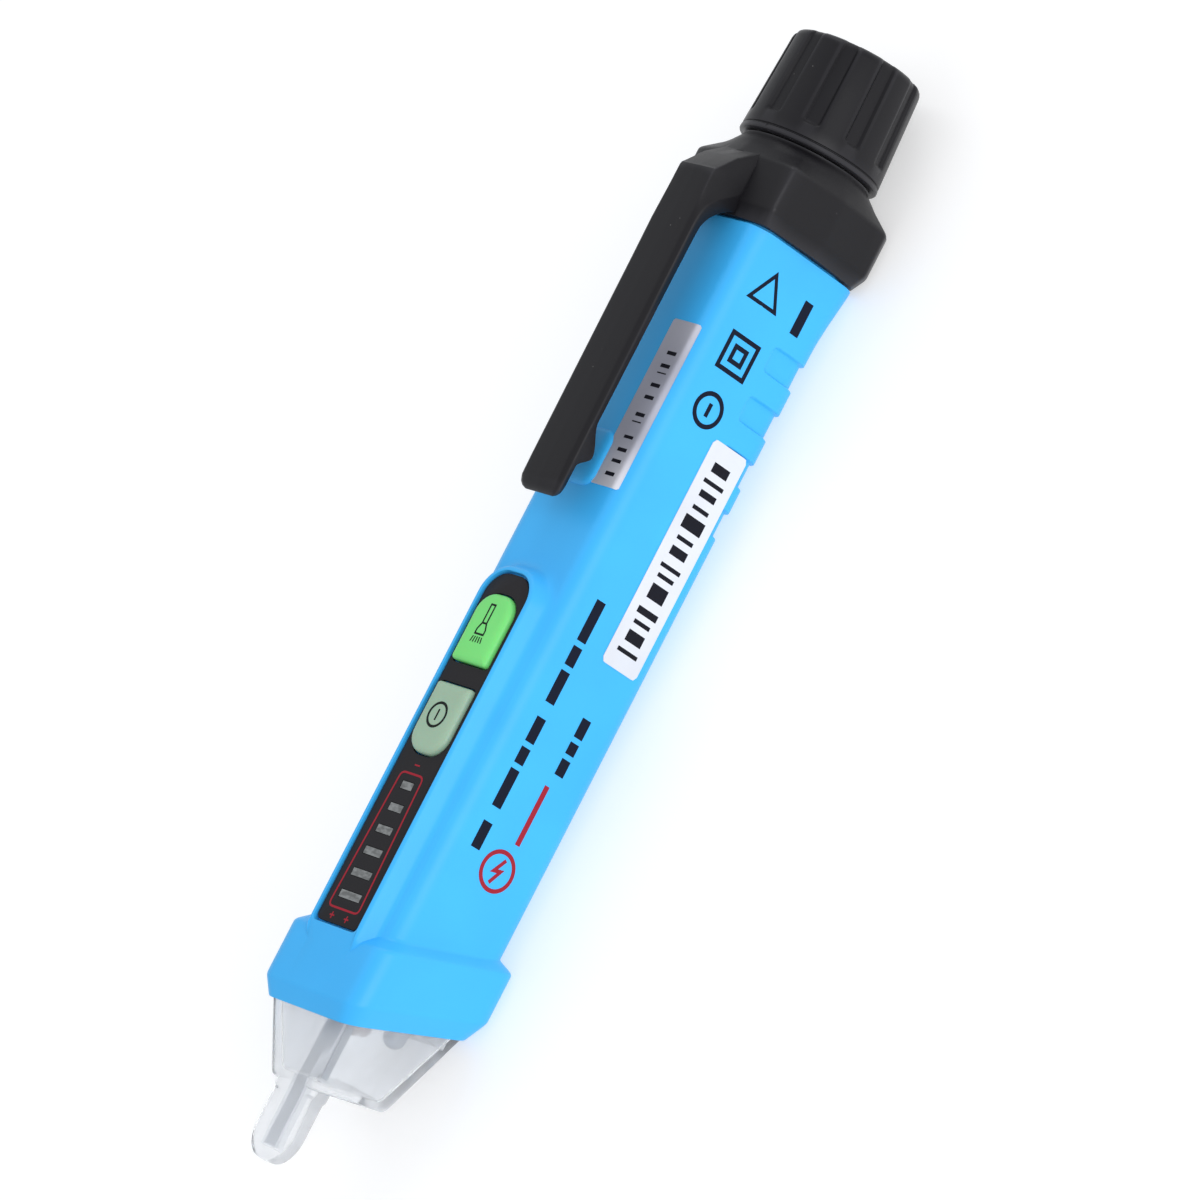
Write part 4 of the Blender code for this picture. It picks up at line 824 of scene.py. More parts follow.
def build_lamps(context):
    """Round domed lamps behind the clear nose."""
    for name, slot, colour, weight in (("alarm_lamp", "alarm_lens", (0.86, 0.80, 0.82), 0.4),
                                       ("torch_lamp", "clear_lens", (0.80, 0.86, 0.95), 0.6)):
        low, high = LAMP_BOXES[name]
        centre = ((low.y + high.y) / 2, (low.z + high.z) / 2)
        rim = (high.y - low.y) / 2
        radius = rim - 0.3
        profile = [(low.x + radius * (1 - math.sin(math.radians(turn))), radius * math.cos(math.radians(turn)))
                   for turn in (86, 75, 60, 45, 30, 15, 0)]
        profile += [(high.x - 0.95, radius), (high.x - 0.9, rim - 0.05), (high.x - 0.85, rim), (high.x, rim)]
        item = new_piece(name + "_dome", loft([circle(x, r, centre, 40) for x, r in profile]),
                         lens(name + "_finish", colour, weight))
        settle(item, "barrel", slot, name)


# ---------------------------------------------------------------- panel, prints and buttons
def window_rows():
    """Middle and half width of each level window."""
    low, high = GUIDE_BOX
    first = low.x + 0.5
    pitch = (high.x - low.x - 1.0) / 5
    return [(first + index * pitch, (4.2 - 2.0 * index / 5) / 2) for index in range(6)]


def build_panel(context):
    colours = context.scene.tester_colours
    low, high = PANEL_BOX
    levels = ((0.0, low.z), (0.0, high.z - 0.10), (-0.03, high.z - 0.03), (-0.10, high.z))
    plate = stacked(levels, lambda grow: plan_outline(low.x - grow, high.x + grow, high.y + grow, 0.8 + grow,
                                                      3.3 + grow, 10))
    item = new_piece("panel_plate", plate)
    for name in BUTTON_BOXES:
        carve(item, upright(button_plan(name, CLEARANCE - 0.05), low.z - 1.0, high.z + 1.0))
    for middle, half in window_rows():
        carve(item, block((middle - 0.58, -half - 0.08, low.z - 1.0), (middle + 0.58, half + 0.08, high.z + 1.0)))
    smooth(item)
    paint(item, film(colours))
    settle(item, "barrel", "panel_film", "panel_overlay")
    place = raised(high.z)
    mesh = bmesh.new()
    first, last = low.x + 2.0, low.x + 20.7
    frame_path = soften([(first, 0.0), (first, 3.1), (last, 2.25), (last, -2.25), (first, -3.1), (first, 0.0)], 0.8)
    ribbon(mesh, frame_path[:-1], 0.27, place, *PANEL_INK, closed=True)
    for sign in (1, -1):
        ribbon(mesh, [(first - 1.05, sign * 1.5 - 0.45), (first - 1.05, sign * 1.5 + 0.45)], 0.2, place, *PANEL_INK)
    ribbon(mesh, [(first - 1.5, 1.5), (first - 0.6, 1.5)], 0.2, place, -0.01, 0.021)
    ribbon(mesh, [(first - 1.5, -1.5), (first - 0.6, -1.5)], 0.2, place, -0.01, 0.021)
    ribbon(mesh, [(last + 1.2, -0.5), (last + 1.2, 0.5)], 0.2, place, *PANEL_INK)
    marks = new_piece("panel_marks", mesh, ink_finish("red_print_finish", tuple(colours.red_print)))
    settle(marks, "barrel", "panel_film")


def build_buttons(context):
    colours = context.scene.tester_colours
    looks = {"power": ("grey_green_button", tuple(colours.power_button)),
             "torch": ("green_button", tuple(colours.torch_button))}
    ink = ink_finish("button_print_finish", (0.008, 0.012, 0.010))
    for name, (slot, colour) in looks.items():
        low, high = BUTTON_BOXES[name]
        top = high.z
        panel = PANEL_BOX[1].z
        levels = [(0.0, low.z + 0.3), (0.0, panel - 0.1), (0.0, panel + 0.18), (-0.05, panel + 0.36),
                  (-0.16, panel + 0.52), (-0.34, panel + 0.65), (-0.6, panel + 0.73),
                  (-1.0, top - 0.02), (-1.5, top)]
        solid = stacked(levels, lambda grow: button_plan(name, grow))
        item = new_piece(name + "_key", solid, moulded(slot + "_finish", colour, 0.42, 0.09, 0.008, dust=0.15,
                                                       subsurface_weight=0.15, subsurface_scale=0.002))
        flange = stacked(((0.6, low.z), (0.6, low.z + 0.6)), lambda grow: button_plan(name, grow))
        carve(item, flange, "UNION")
        smooth(item, 50.0)
        settle(item, name + "_button", slot, name + "_button")
        drawn = power_mark if name == "power" else torch_mark
        mark = new_piece(name + "_mark", drawn(low, high, top), ink)
        settle(mark, name + "_button", slot)


def power_mark(low, high, top):
    """Ring with a bar in it."""
    mesh = bmesh.new()
    middle = (low.x + high.x) / 2 + 0.35
    place = raised(top)
    ribbon(mesh, arc((middle, 0.15), 1.6, 0, 360, 40)[:-1], 0.36, place, *BUTTON_INK, closed=True)
    ribbon(mesh, [(middle - 0.75, 0.15), (middle + 0.75, 0.15)], 0.30, place, *BUTTON_INK)
    return mesh


def torch_mark(low, high, top):
    """Outline of a small hand torch with five rays towards the tip."""
    mesh = bmesh.new()
    middle = (low.x + high.x) / 2 + 0.2
    place = raised(top, middle, 0.1)
    body = [(2.9, 0.42), (0.35, 0.42), (0.35, -0.42), (2.9, -0.42)]
    head = [(0.35, 0.42), (-0.55, 0.85), (-1.15, 0.85), (-1.15, -0.85), (-0.55, -0.85), (0.35, -0.42)]
    ribbon(mesh, body, 0.26, place, *BUTTON_INK, closed=True)
    ribbon(mesh, head, 0.26, place, -0.02, 0.013, closed=True)
    for index in range(5):
        spread = (index - 2) * 0.42
        ribbon(mesh, [(-1.5, spread), (-2.3, spread * 1.25)], 0.20, place, *BUTTON_INK)
    return mesh


# ---------------------------------------------------------------- labels and side prints
def label_solid(front, back, start, end, radius, sizes, thick=0.09, steps=18):
    """Thin label that follows the skin, with small round corners."""
    mesh = bmesh.new()
    middle = (start + end) / 2
    rows = []
    for step in range(steps + 1):
        distance = (end - start) * (step / steps - 0.5)
        reach = min(abs(distance) - (end - start) / 2 + radius, radius)
        cut_back = radius - math.sqrt(max(radius ** 2 - max(reach, 0.0) ** 2, 0.0))
        rows.append((middle + distance, front + cut_back, back - cut_back))
    grid = []
    for lift in (0.02, thick):
        layer = []
        for distance, x_low, x_high in rows:
            y, z = skin(distance, lift, sizes)
            layer.append([mesh.verts.new(world((x_low + (x_high - x_low) * part / LABEL_PARTS, y, z)))
                          for part in range(LABEL_PARTS + 1)])
        grid.append(layer)
    for layer in grid:
        for first, second in zip(layer, layer[1:]):
            for part in range(LABEL_PARTS):
                mesh.faces.new((first[part], first[part + 1], second[part + 1], second[part]))
    under, over = grid
    for row in range(steps):
        for part in (0, LABEL_PARTS):
            mesh.faces.new((under[row][part], under[row + 1][part], over[row + 1][part], over[row][part]))
    for row in (0, steps):
        for part in range(LABEL_PARTS):
            mesh.faces.new((under[row][part], under[row][part + 1], over[row][part + 1], over[row][part]))
    return mesh


def skin_at_height(z, sizes):
    """Distance along the skin of a height on the side face."""
    half, corner, crown = barrel_shape(sizes)
    return half - corner + math.pi / 2 * (corner - crown) + (half - corner) - z


def build_labels(context):
    sizes, colours = context.scene.tester_sizes, context.scene.tester_colours
    ink = ink_finish("label_print_finish", (0.008, 0.008, 0.014))
    low, high = SIDE_LABEL_BOX
    start, end = skin_at_height(high.z, sizes), skin_at_height(low.z, sizes)
    item = new_piece("side_sticker", label_solid(low.x, high.x, start, end, 0.6, sizes),
                     printed_paper("paper_label_finish", tuple(colours.paper), 0.0))
    settle(item, "barrel", "paper_label", "side_label")
    place = side_place(sizes)
    mesh = bmesh.new()
    middle = (low.z + high.z) / 2
    x = low.x + 2.2
    for index, (bar, gap) in enumerate(((0.55, 1.0), (1.5, 0.9), (0.55, 0.8), (0.9, 1.3), (2.0, 0.9), (0.55, 0.8),
                                        (0.55, 1.3), (1.2, 0.9), (0.55, 1.0), (1.8, 0.9), (0.55, 1.2), (0.9, 0.9),
                                        (0.55, 1.0), (1.3, 0.8))):
        tall = 1.45 if index % 3 else 1.8
        ribbon(mesh, [(x + bar / 2, middle - tall), (x + bar / 2, middle + tall)], bar, place, *LABEL_INK)
        x += bar + gap
        if x > high.x - 2.5:
            break
    settle(new_piece("side_sticker_print", mesh, ink), "barrel", "paper_label")

    low, high = CORNER_LABEL_BOX
    start, end = -high.y, 6.0 + math.radians(28) * 3.0
    item = new_piece("corner_sticker", label_solid(low.x, high.x, start, end, 0.25, sizes),
                     printed_paper("foil_label_finish", tuple(colours.foil), 0.55))
    settle(item, "barrel", "foil_label", "corner_label")

    def corner_place(x, distance, lift):
        y, z = skin(distance, lift, sizes)
        return (x, y, z)
    mesh = bmesh.new()
    x = low.x + 1.7
    row = (start + end) / 2 + 0.1
    for bar in (1.6, 1.3, 1.6, 1.2, 0.0, 0.5, 1.6, 0.0, 1.5, 1.5, 0.5, 1.6, 1.5):
        if bar:
            ribbon(mesh, [(x, row - 0.85), (x, row + 0.85)], min(bar * 0.35, 0.5), corner_place, *LABEL_INK)
        x += bar * 0.7 + 0.65
    settle(new_piece("corner_sticker_print", mesh, ink), "barrel", "foil_label")


def build_side_marks(context):
    """Plain printed marks on the labelled side."""
    sizes, colours = context.scene.tester_sizes, context.scene.tester_colours
    place = side_place(sizes)
    low, high = 0.004, 0.024
    mesh = bmesh.new()
    x, row = 45.0, 4.1
    for bar in (3.6, 0.0, 5.2, 2.2, 3.4, 0.0, 4.4, 2.6, 5.6):
        if bar:
            ribbon(mesh, [(x, row), (x + bar, row)], 1.5, place, low, high)
            x += bar + 0.75
        else:
            x += 1.3
    x = 58.0
    for bar in (2.2, 1.6, 2.6):
        ribbon(mesh, [(x, -2.3), (x + bar, -2.3)], 1.5, place, low, high)
        x += bar + 0.7
    ribbon(mesh, [(120.3, -3.5), (124.9, -3.5)], 1.5, place, low, high)
    for reach, width in ((2.3, 0.6), (0.95, 0.6)):
        centre = (114.1, 2.7)
        corners = [(centre[0] + a * reach, centre[1] + b * reach) for a, b in ((1, 1), (-1, 1), (-1, -1), (1, -1))]
        ribbon(mesh, corners, width, place, low, high, closed=True)
    ribbon(mesh, arc((106.4, 3.0), 2.1, 0, 360, 40)[:-1], 0.6, place, low, high, closed=True)
    ribbon(mesh, [(105.5, 3.0), (107.3, 3.0)], 0.6, place, low, high)
    centre = (122.6, 3.1)
    triangle = [(centre[0] + 2.7 * math.cos(math.radians(turn)), centre[1] + 2.7 * math.sin(math.radians(turn)))
                for turn in (0, 120, 240)]
    ribbon(mesh, triangle, 0.5, place, low, high, closed=True)
    dark = ink_finish("black_print_finish", tuple(colours.black_print))
    settle(new_piece("side_marks_black", mesh, dark), "barrel", "blue_housing")

    mesh = bmesh.new()
    centre = (44.0, -0.6)
    ribbon(mesh, arc(centre, 2.5, 0, 360, 56)[:-1], 0.56, place, low, high, closed=True)
    bolt = [(centre[0] + 1.7, centre[1] - 0.5), (centre[0] - 0.1, centre[1] + 0.55),
            (centre[0] + 0.15, centre[1] - 0.5), (centre[0] - 1.7, centre[1] + 0.45)]
    ribbon(mesh, bolt, 0.5, place, low, high)
    ribbon(mesh, [(48.0, -1.5), (56.2, -1.5)], 0.8, place, low, high)
    red = ink_finish("red_side_print_finish", tuple(colours.red_print))
    settle(new_piece("side_marks_red", mesh, red), "barrel", "blue_housing")


# ---------------------------------------------------------------- tail cap and clip
def cap_corners(side):
    """Twelve-cornered section of the cap: roofed top and sides, flat back."""
    corner_y, corner_z = side - 0.76, side - 1.6
    shelf = corner_y - 1.6
    return [(side, 0.0), (corner_y, corner_z), (4.2, side - 0.4), (0.0, side), (-4.2, side - 0.4),
            (-corner_y, corner_z), (-side, 0.0), (-corner_y, -corner_z), (-shelf, -side), (0.0, -side),
            (shelf, -side), (corner_y, -corner_z)]


NECK_RADIUS = 8.8
ARM_FALL = 0.42
ARM_BAND = 0.63
ARM_HALVES = (3.4, 4.2, 3.8)
BEAD_DEPTH = 1.7


def cap_ring(x, half, blend):
    """Cap section that turns from facets into a circle as blend goes from 0 to 1."""
    ring = []
    for y, z in soft_polygon(cap_corners(half), 0.55, 3, 4):
        reach = math.hypot(y, z)
        scale = (1 - blend) + blend * NECK_RADIUS / reach
        ring.append((x, y * scale, z * scale))
    return ring


def clip_ring(x, top, shoulder, foot, face_half, shoulder_half, foot_half):
    """Section of the clip arm: roofed face, sloping band, and flanks that lean in."""
    corners = [(foot_half, foot), (shoulder_half, shoulder), (face_half, top - 0.06), (0.0, top),
               (-face_half, top - 0.06), (-shoulder_half, shoulder), (-foot_half, foot)]
    return [(x, y, z) for y, z in soft_polygon(corners, 0.22, 3, 2)]


def bead_drop(x, front):
    """Depth of the gripping bead: steep towards the tip and gentle towards the tail."""
    if x < front + 2.0:
        return BEAD_DEPTH * ease_between(x, front, front + 2.0)
    return BEAD_DEPTH * (1 - ease_between(x, front + 2.0, front + 6.2))


def build_cap(context):
    colours = context.scene.tester_colours
    front, back = CAP_BOX[0].x, CAP_BOX[1].x
    half = CAP_BOX[1].y
    stations = soften([(front, half - 0.75, 0.0), (front + 2.0, half, 0.0), (back - 3.7, half, 0.0),
                       (back - 1.6, half - 0.35, 0.62), (back - 0.35, half, 1.0), (back, half, 1.0)], 0.4)
    rings = [cap_ring(x, ring_half, blend) for x, ring_half, blend in stations]
    item = new_piece("tail_cap_and_clip", loft(rings))

    tip = CLIP_BOX[0].x
    top = CLIP_BOX[1].z
    foot = 13.2
    arm = [(tip, 13.75, 13.62, 13.45, 2.5, 2.9, 2.7), (tip + 0.25, 14.1, 13.8, 13.3, 2.95, 3.5, 3.2),
           (tip + 0.7, 14.4, 13.95, 13.22, 3.2, 3.95, 3.6), (tip + 1.5, 14.72, 14.07, 13.2, 3.38, 4.18, 3.78),
           (tip + 2.2, top - 0.43, top - 1.06, foot, 3.4, 4.2, 3.8)]
    bead = tip + 4.5
    length = front - tip
    stretch = [bead - 0.2 + 6.6 * step / 28 for step in range(29)] + [tip + 16.0, tip + 24.0, tip + 32.0]
    for x in stretch:
        face = top - ARM_FALL * (1 - (x - tip) / length)
        arm.append((x, face, face - ARM_BAND, foot - bead_drop(x, bead), *ARM_HALVES))
    for x, shoulder, low in ((front - 4.4, 14.5, 13.2), (front - 3.6, 14.48, 13.12), (front - 2.8, 14.42, 12.86),
                             (front - 2.0, 14.3, 12.42), (front - 1.3, 14.08, 11.85), (front - 0.7, 13.75, 11.2),
                             (front - 0.2, 13.35, 10.5), (front + 0.1, 13.1, 9.9), (front + 0.5, 12.7, 9.0),
                             (front + 1.2, 11.8, 8.5), (front + 2.0, 10.7, 8.0), (front + 2.5, 10.2, 7.6)):
        arm.append((x, top - 0.005, shoulder, low, 3.4, 4.22, 3.85))
    for x, height in ((front + 3.1, top - 0.01), (front + 3.5, top - 0.12), (front + 3.9, top - 0.5),
                      (front + 6.3, 12.6), (front + 8.6, 9.6), (front + 9.4, 8.5)):
        shoulder = min(10.1, height - 0.5)
        arm.append((x, height, shoulder, 7.2, 3.4, 4.22, 3.9))
    carve(item, loft([clip_ring(*ring) for ring in arm]), "UNION")

    socket = SPIGOT_HALF + CLEARANCE
    carve(item, loft([slanted_ring(x, socket, 2.6) for x in (front - 3.0, front + 6.5)]))
    carve(item, loft([circle(x, 5.5) for x in (front + 6.2, front + 10.0)]))
    carve(item, loft([circle(x, 3.2) for x in (front + 9.5, back + 2.0)]))
    smooth(item, 26.0)
    paint(item, moulded("cap_finish", tuple(colours.moulding), 0.42, 0.10, 0.012, dust=0.3, scuff=0.06,
                        edge=BLACK_EDGE_HIGHLIGHT, specular_ior_level=0.24))
    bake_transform(item)
    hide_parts("tail_housing", "pocket_clip")


# ---------------------------------------------------------------- knob
FLUTE_PHASE = math.radians(23.0)


def flute_share(turn, count, width):
    """1 on a flute's floor and 0 on the lands between."""
    pitch = 2 * math.pi / count
    across = abs((turn + pitch / 2) % pitch - pitch / 2)
    return 1 - ease_between(across, width / 2 - 0.030, width / 2 + 0.012)


def build_knob(context):
    sizes, colours = context.scene.tester_sizes, context.scene.tester_colours
    front, back = KNOB_BOX[0].x, KNOB_BOX[1].x
    base, end = 9.55, 8.8
    length = back - front
    width = 2.4 / base

    def ring(x, inset, depth):
        radius = base + (end - base) * (x - front) / length - inset
        count = sizes.flute_count
        pitch = 2 * math.pi / count
        points = []
        for flute in range(count):
            for part in range(20):
                local = (part / 20 - 0.5) * pitch
                reach = radius - depth * flute_share(local, count, width)
                turn = flute * pitch + local + FLUTE_PHASE
                points.append((x, reach * math.cos(turn), reach * math.sin(turn)))
        return points
    deep = sizes.flute_depth / MM
    profile = [(front + 9.0, base - 6.6, 0.0), (front, base - 6.6, 0.0),
               (front, 0.35, 0.0), (front + 0.08, 0.12, 0.0),
               (front + 0.25, 0.0, 0.0), (front + 0.62, 0.0, 0.0),
               (front + 0.70, 0.06, 0.0), (front + 0.76, 0.16, 0.0),
               (front + 0.86, 0.16, 0.0), (front + 0.94, 0.05, 0.0), (front + 1.05, 0.02, 0.0),
               (front + 2.45, 0.02, 0.0), (front + 2.62, 0.02, 0.18 * deep), (front + 2.8, 0.02, 0.55 * deep),
               (front + 3.0, 0.02, 0.85 * deep), (front + 3.3, 0.02, deep), (front + 8.0, 0.02, deep),
               (back - 1.1, 0.02, deep), (back - 0.75, 0.06, deep), (back - 0.45, 0.18, deep * 0.95),
               (back - 0.2, 0.42, deep * 0.8), (back - 0.05, 0.75, deep * 0.5), (back, 1.1, deep * 0.2),
               (back, 3.2, 0.0), (back - 0.18, 3.45, 0.0), (back - 0.25, 3.8, 0.0), (back - 0.25, 6.5, 0.0)]
    item = new_piece("tuning_knob", loft([ring(*row) for row in profile]),
                     moulded("knob_finish", shaded(tuple(colours.moulding), 1.05), 0.40, 0.10, 0.010, dust=0.25,
                             edge=BLACK_EDGE_HIGHLIGHT, scuff=0.05, specular_ior_level=0.24), 34.0)
    settle(item, "knob", "black_polymer", "sensitivity_knob")


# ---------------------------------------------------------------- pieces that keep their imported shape
def build_inner(context):
    colours = context.scene.tester_colours
    black = moulded("component_finish", (0.016, 0.016, 0.018), 0.5, 0.12, 0.01)
    plated = brushed("plated_finish", (0.78, 0.75, 0.66), 0.25)
    white = moulded("holder_finish", (0.72, 0.73, 0.75), 0.5, 0.14, 0.01, dust=0.1)
    board = board_mask("board_finish")
    chips = lens("level_lamp_finish", (0.85, 0.80, 0.55), 0.2)
    cells = cell_jacket()
    rib = moulded("antenna_rib_finish", (0.74, 0.78, 0.84), 0.2, 0.3, 0.005, transmission_weight=0.6)
    looks = {
        "antenna_rib": rib,
        "probe_antenna": moulded("antenna_finish", (0.86, 0.88, 0.91), 0.4, 0.15, 0.004, metallic=0.25),
        "lamp_holder": white, "battery_carrier": white, "level_light_guide": frosted_windows(colours),
        "main_board": board, "tail_board": board, "controller_chip": black, "sounder": black,
        "power_switch": black, "torch_switch": black, "battery_front": cells, "battery_rear": cells,
        "front_contact": plated, "contact_spring": plated,
        "potentiometer": moulded("potentiometer_finish", (0.10, 0.10, 0.12), 0.35, 0.2, 0.006, metallic=0.6),
        "knob_shaft": brushed("shaft_finish", (0.60, 0.60, 0.62), 0.3),
        "seal_ring": moulded("seal_finish", (0.012, 0.012, 0.012), 0.7, 0.2, 0.015),
    }
    for index in range(6):
        looks["level_lamp_%d" % (index + 1)] = chips
    for name, material in looks.items():
        item = frame["nodes"][name]
        paint(item, material)


# ---------------------------------------------------------------- stage
def build_stage(context):
    scene = context.scene
    stage = scene.tester_stage
    size = 3.0
    mesh = bmesh.new()
    corners = [mesh.verts.new((x, y, 0.0)) for x, y in ((-size, -size), (size, -size), (size, size), (-size, size))]
    mesh.faces.new(corners)
    finish = Finish("floor_finish", (0.9, 0.9, 0.9), emission_strength=1.0)
    finish.put("Emission Color", (0.47, 0.47, 0.47))
    cloud = finish.noise(120.0, 2.0)
    finish.put("Base Color", finish.mix(cloud, (0.62, 0.62, 0.625), (0.65, 0.65, 0.65)))
    finish.put("Roughness", cloud * 0.1 + 0.75)
    floor = new_piece("floor", mesh, finish.material)

    background = bpy.data.worlds.new("studio_world")
    background.use_nodes = True
    shade = background.node_tree.nodes["Background"]
    shade.inputs["Color"].default_value = (0.95, 0.97, 1.0, 1.0)
    shade.inputs["Strength"].default_value = stage.surround
    scene.world = background
    scene.view_settings.view_transform = "Standard"

    for name, place, width, power in (("key_light", (-0.05, -0.95, 0.50), 0.7, stage.key),
                                      ("top_light", (0.15, 0.35, 1.0), 0.6, stage.key * 0.12),
                                      ("edge_light", (0.9, 0.15, 0.5), 0.4, stage.key * 0.20)):
        data = bpy.data.lights.new(name, "AREA")
        data.shape = "SQUARE"
        data.size = width
        data.energy = power
        lamp = bpy.data.objects.new(name, data)
        scene.collection.objects.link(lamp)
        lamp.location = place
        lamp.rotation_euler = (Vector((0, 0, 0.01)) - Vector(place)).to_track_quat("-Z", "Y").to_euler()

    camera_data = bpy.data.cameras.new("camera")
    camera_data.lens = stage.focal_length
    camera_data.sensor_width = 36.0
    camera_data.clip_end = 20.0
    camera = bpy.data.objects.new("camera", camera_data)
    scene.collection.objects.link(camera)
    turn, tilt, roll = stage.camera_turn, stage.camera_tilt, stage.camera_roll
    back = Vector((-math.sin(turn), -math.sin(tilt) * math.cos(turn), math.cos(tilt) * math.cos(turn)))
    along = Vector((1.0, 0.0, 0.0))
    along = (along - back * along.dot(back)).normalized()
    across = along.cross(back)
    up = along * math.cos(roll) - across * math.sin(roll)
    right = along * math.sin(roll) + across * math.cos(roll)
    target = Vector(world((stage.aim_along / MM, 0.0, 0.0))) + across * stage.aim_across
    place = target + back * stage.camera_distance
    rotation = Matrix((right, up, back)).transposed()
    camera.matrix_world = Matrix.Translation(place) @ rotation.to_4x4()
    scene.camera = camera


# ---------------------------------------------------------------- settings a user can change
def length(name, text, default, low=0.0, high=0.2):
    return FloatProperty(name=name, description=text, default=default, min=low, max=high, unit="LENGTH",
                         subtype="DISTANCE", precision=5)


def colour(name, text, default):
    return FloatVectorProperty(name=name, description=text, default=default, size=3, min=0.0, max=1.0,
                               subtype="COLOR")


class TesterSizes(PropertyGroup):
    """Sizes of the finished surfaces; the frame sets everything that other pieces fit to."""

    barrel_width: length("Barrel width", "Width across the barrel's flat faces", 0.018)
    barrel_corner: length("Barrel corner", "Radius of the barrel's long corners", 0.003)
    barrel_crown: length("Barrel crown", "How much the barrel's faces bulge", 0.00012)
    console_height: length("Console height", "Rise of the console over the barrel", 0.0022)
    grip_depth: length("Finger pocket depth", "Depth of the finger pockets", 0.0005)
    grip_count: IntProperty(name="Finger pockets", description="Pockets on each back corner", default=4, min=1,
                            max=4)
    nose_wall: length("Nose wall", "Wall of the clear nose", 0.0013)
    flute_depth: length("Flute depth", "Depth of the knob's flutes", 0.00045)
    flute_count: IntProperty(name="Flutes", description="Flutes round the knob", default=10, min=4, max=20)


class TesterColours(PropertyGroup):
    """Colours of the mouldings and prints."""

    housing: colour("Housing", "Blue barrel moulding", (0.048, 0.475, 0.98))
    moulding: colour("Cap and knob", "Black mouldings", (0.0085, 0.0080, 0.0100))
    panel: colour("Panel", "Panel film", (0.009, 0.008, 0.010))
    power_button: colour("Power button", "Power button moulding", (0.34, 0.50, 0.36))
    torch_button: colour("Torch button", "Torch button moulding", (0.19, 0.76, 0.19))
    windows: colour("Level windows", "Diffusing windows", (0.20, 0.21, 0.21))
    nose: colour("Nose", "Clear nose moulding", (0.965, 0.98, 1.0))
    paper: colour("Side label", "Label stock", (0.78, 0.80, 0.86))
    foil: colour("Corner label", "Foil label", (0.62, 0.63, 0.74))
    red_print: colour("Red print", "Red ink", (0.36, 0.018, 0.034))
    black_print: colour("Black print", "Black ink", (0.005, 0.008, 0.022))


class TesterStage(PropertyGroup):
    """Camera and light."""

    focal_length: FloatProperty(name="Focal length", description="Camera lens in millimetres", default=255.0)
    camera_distance: length("Camera distance", "From the pen to the camera", 1.05, 0.1, 10.0)
    camera_turn: FloatProperty(name="Turn", description="Turn towards the tip", default=math.radians(8.4),
                               subtype="ANGLE")
    camera_tilt: FloatProperty(name="Tilt", description="Tilt from straight above towards the labelled side",
                               default=math.radians(52.0), subtype="ANGLE")
    camera_roll: FloatProperty(name="Roll", description="Clockwise turn of the pen in the view",
                               default=math.radians(27.23), subtype="ANGLE")
    aim_along: length("Aim along", "Middle of the view from the probe tip", 0.0806)
    aim_across: length("Aim across", "Middle of the view beside the axis", 0.0020)
    key: FloatProperty(name="Key light", description="Power of the main light", default=4.8, unit="POWER")
    surround: FloatProperty(name="Surround", description="Strength of the light all round", default=0.70)


class TesterOperator:
    """Shared behaviour of the building operators."""

    bl_options = {"REGISTER", "UNDO"}

    def execute(self, context):
        type(self).build(context)
        return {"FINISHED"}


class TESTER_OT_barrel(TesterOperator, Operator):
    """Build the blue barrel with its collar, console and finger pockets"""
    bl_idname = "tester.barrel"
    bl_label = "Barrel"
    build = staticmethod(build_barrel)


class TESTER_OT_nose(TesterOperator, Operator):
    """Build the clear nose with its probe blade"""
    bl_idname = "tester.nose"
    bl_label = "Clear nose"
    build = staticmethod(build_nose)


class TESTER_OT_lamps(TesterOperator, Operator):
    """Build the two lamps behind the nose"""
    bl_idname = "tester.lamps"
    bl_label = "Lamps"
    build = staticmethod(build_lamps)


class TESTER_OT_panel(TesterOperator, Operator):
    """Build the panel film and its printed marks"""
    bl_idname = "tester.panel"
    bl_label = "Panel"
    build = staticmethod(build_panel)


class TESTER_OT_buttons(TesterOperator, Operator):
    """Build the power and torch buttons with their marks"""
    bl_idname = "tester.buttons"
    bl_label = "Buttons"
    build = staticmethod(build_buttons)


class TESTER_OT_labels(TesterOperator, Operator):
    """Build the side label and the corner label"""
    bl_idname = "tester.labels"
    bl_label = "Labels"
    build = staticmethod(build_labels)


class TESTER_OT_side_marks(TesterOperator, Operator):
    """Build the plain marks printed on the side"""
    bl_idname = "tester.side_marks"
    bl_label = "Side marks"
    build = staticmethod(build_side_marks)


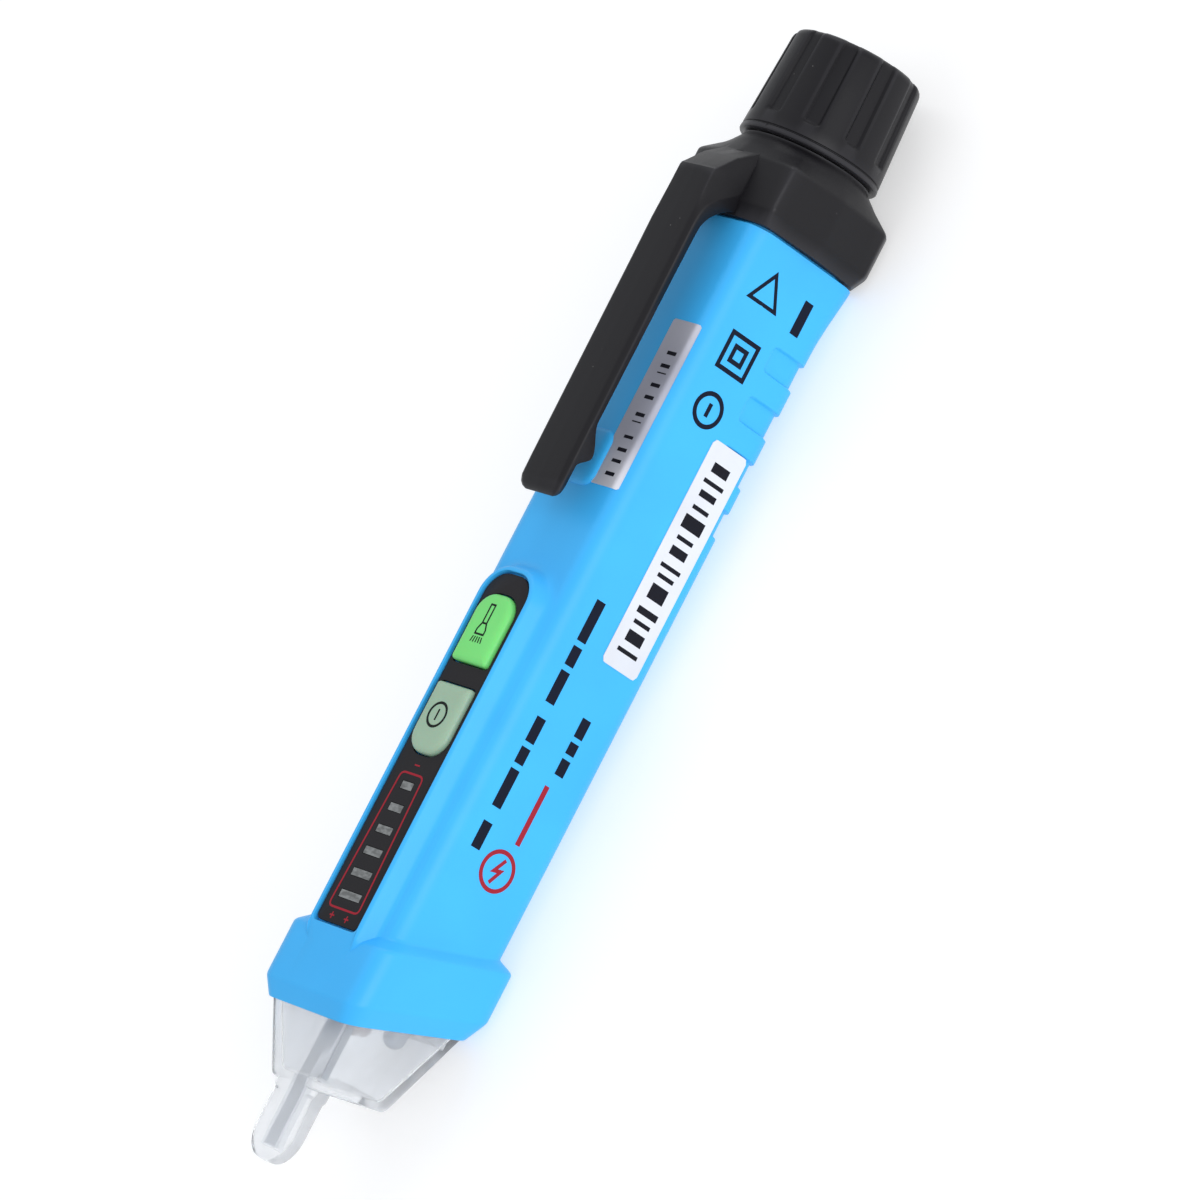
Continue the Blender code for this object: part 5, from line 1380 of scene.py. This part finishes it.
class TESTER_OT_cap(TesterOperator, Operator):
    """Build the tail cap and its pocket clip in one moulding"""
    bl_idname = "tester.cap"
    bl_label = "Tail cap and clip"
    build = staticmethod(build_cap)


class TESTER_OT_knob(TesterOperator, Operator):
    """Build the fluted sensitivity knob"""
    bl_idname = "tester.knob"
    bl_label = "Knob"
    build = staticmethod(build_knob)


class TESTER_OT_inner(TesterOperator, Operator):
    """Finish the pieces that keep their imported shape"""
    bl_idname = "tester.inner"
    bl_label = "Inner pieces"
    build = staticmethod(build_inner)


class TESTER_OT_stage(TesterOperator, Operator):
    """Build the floor, the lights and the camera"""
    bl_idname = "tester.stage"
    bl_label = "Stage"
    build = staticmethod(build_stage)


OPERATORS = (TESTER_OT_barrel, TESTER_OT_nose, TESTER_OT_lamps, TESTER_OT_panel, TESTER_OT_buttons,
             TESTER_OT_labels, TESTER_OT_side_marks, TESTER_OT_cap, TESTER_OT_knob, TESTER_OT_inner,
             TESTER_OT_stage)
SETTINGS = {"tester_sizes": TesterSizes, "tester_colours": TesterColours, "tester_stage": TesterStage}


class TESTER_PT_build(Panel):
    """Lists the building steps"""
    bl_label = "Voltage Tester"
    bl_idname = "TESTER_PT_build"
    bl_space_type = "VIEW_3D"
    bl_region_type = "UI"
    bl_category = "Tester"

    def draw(self, context):
        for name, settings in SETTINGS.items():
            group = getattr(context.scene, name)
            box = self.layout.box()
            for key in settings.__annotations__:
                box.prop(group, key)
        for operator in OPERATORS:
            self.layout.operator(operator.bl_idname)


def register():
    for settings in SETTINGS.values():
        bpy.utils.register_class(settings)
    for name, settings in SETTINGS.items():
        setattr(bpy.types.Scene, name, PointerProperty(type=settings))
    for operator in OPERATORS:
        bpy.utils.register_class(operator)
    bpy.utils.register_class(TESTER_PT_build)


def unregister():
    bpy.utils.unregister_class(TESTER_PT_build)
    for operator in reversed(OPERATORS):
        bpy.utils.unregister_class(operator)
    for name, settings in SETTINGS.items():
        delattr(bpy.types.Scene, name)
        bpy.utils.unregister_class(settings)


def main():
    register()
    for operator in OPERATORS:
        group, name = operator.bl_idname.split(".")
        getattr(getattr(bpy.ops, group), name)()


if __name__ == "__main__":
    main()
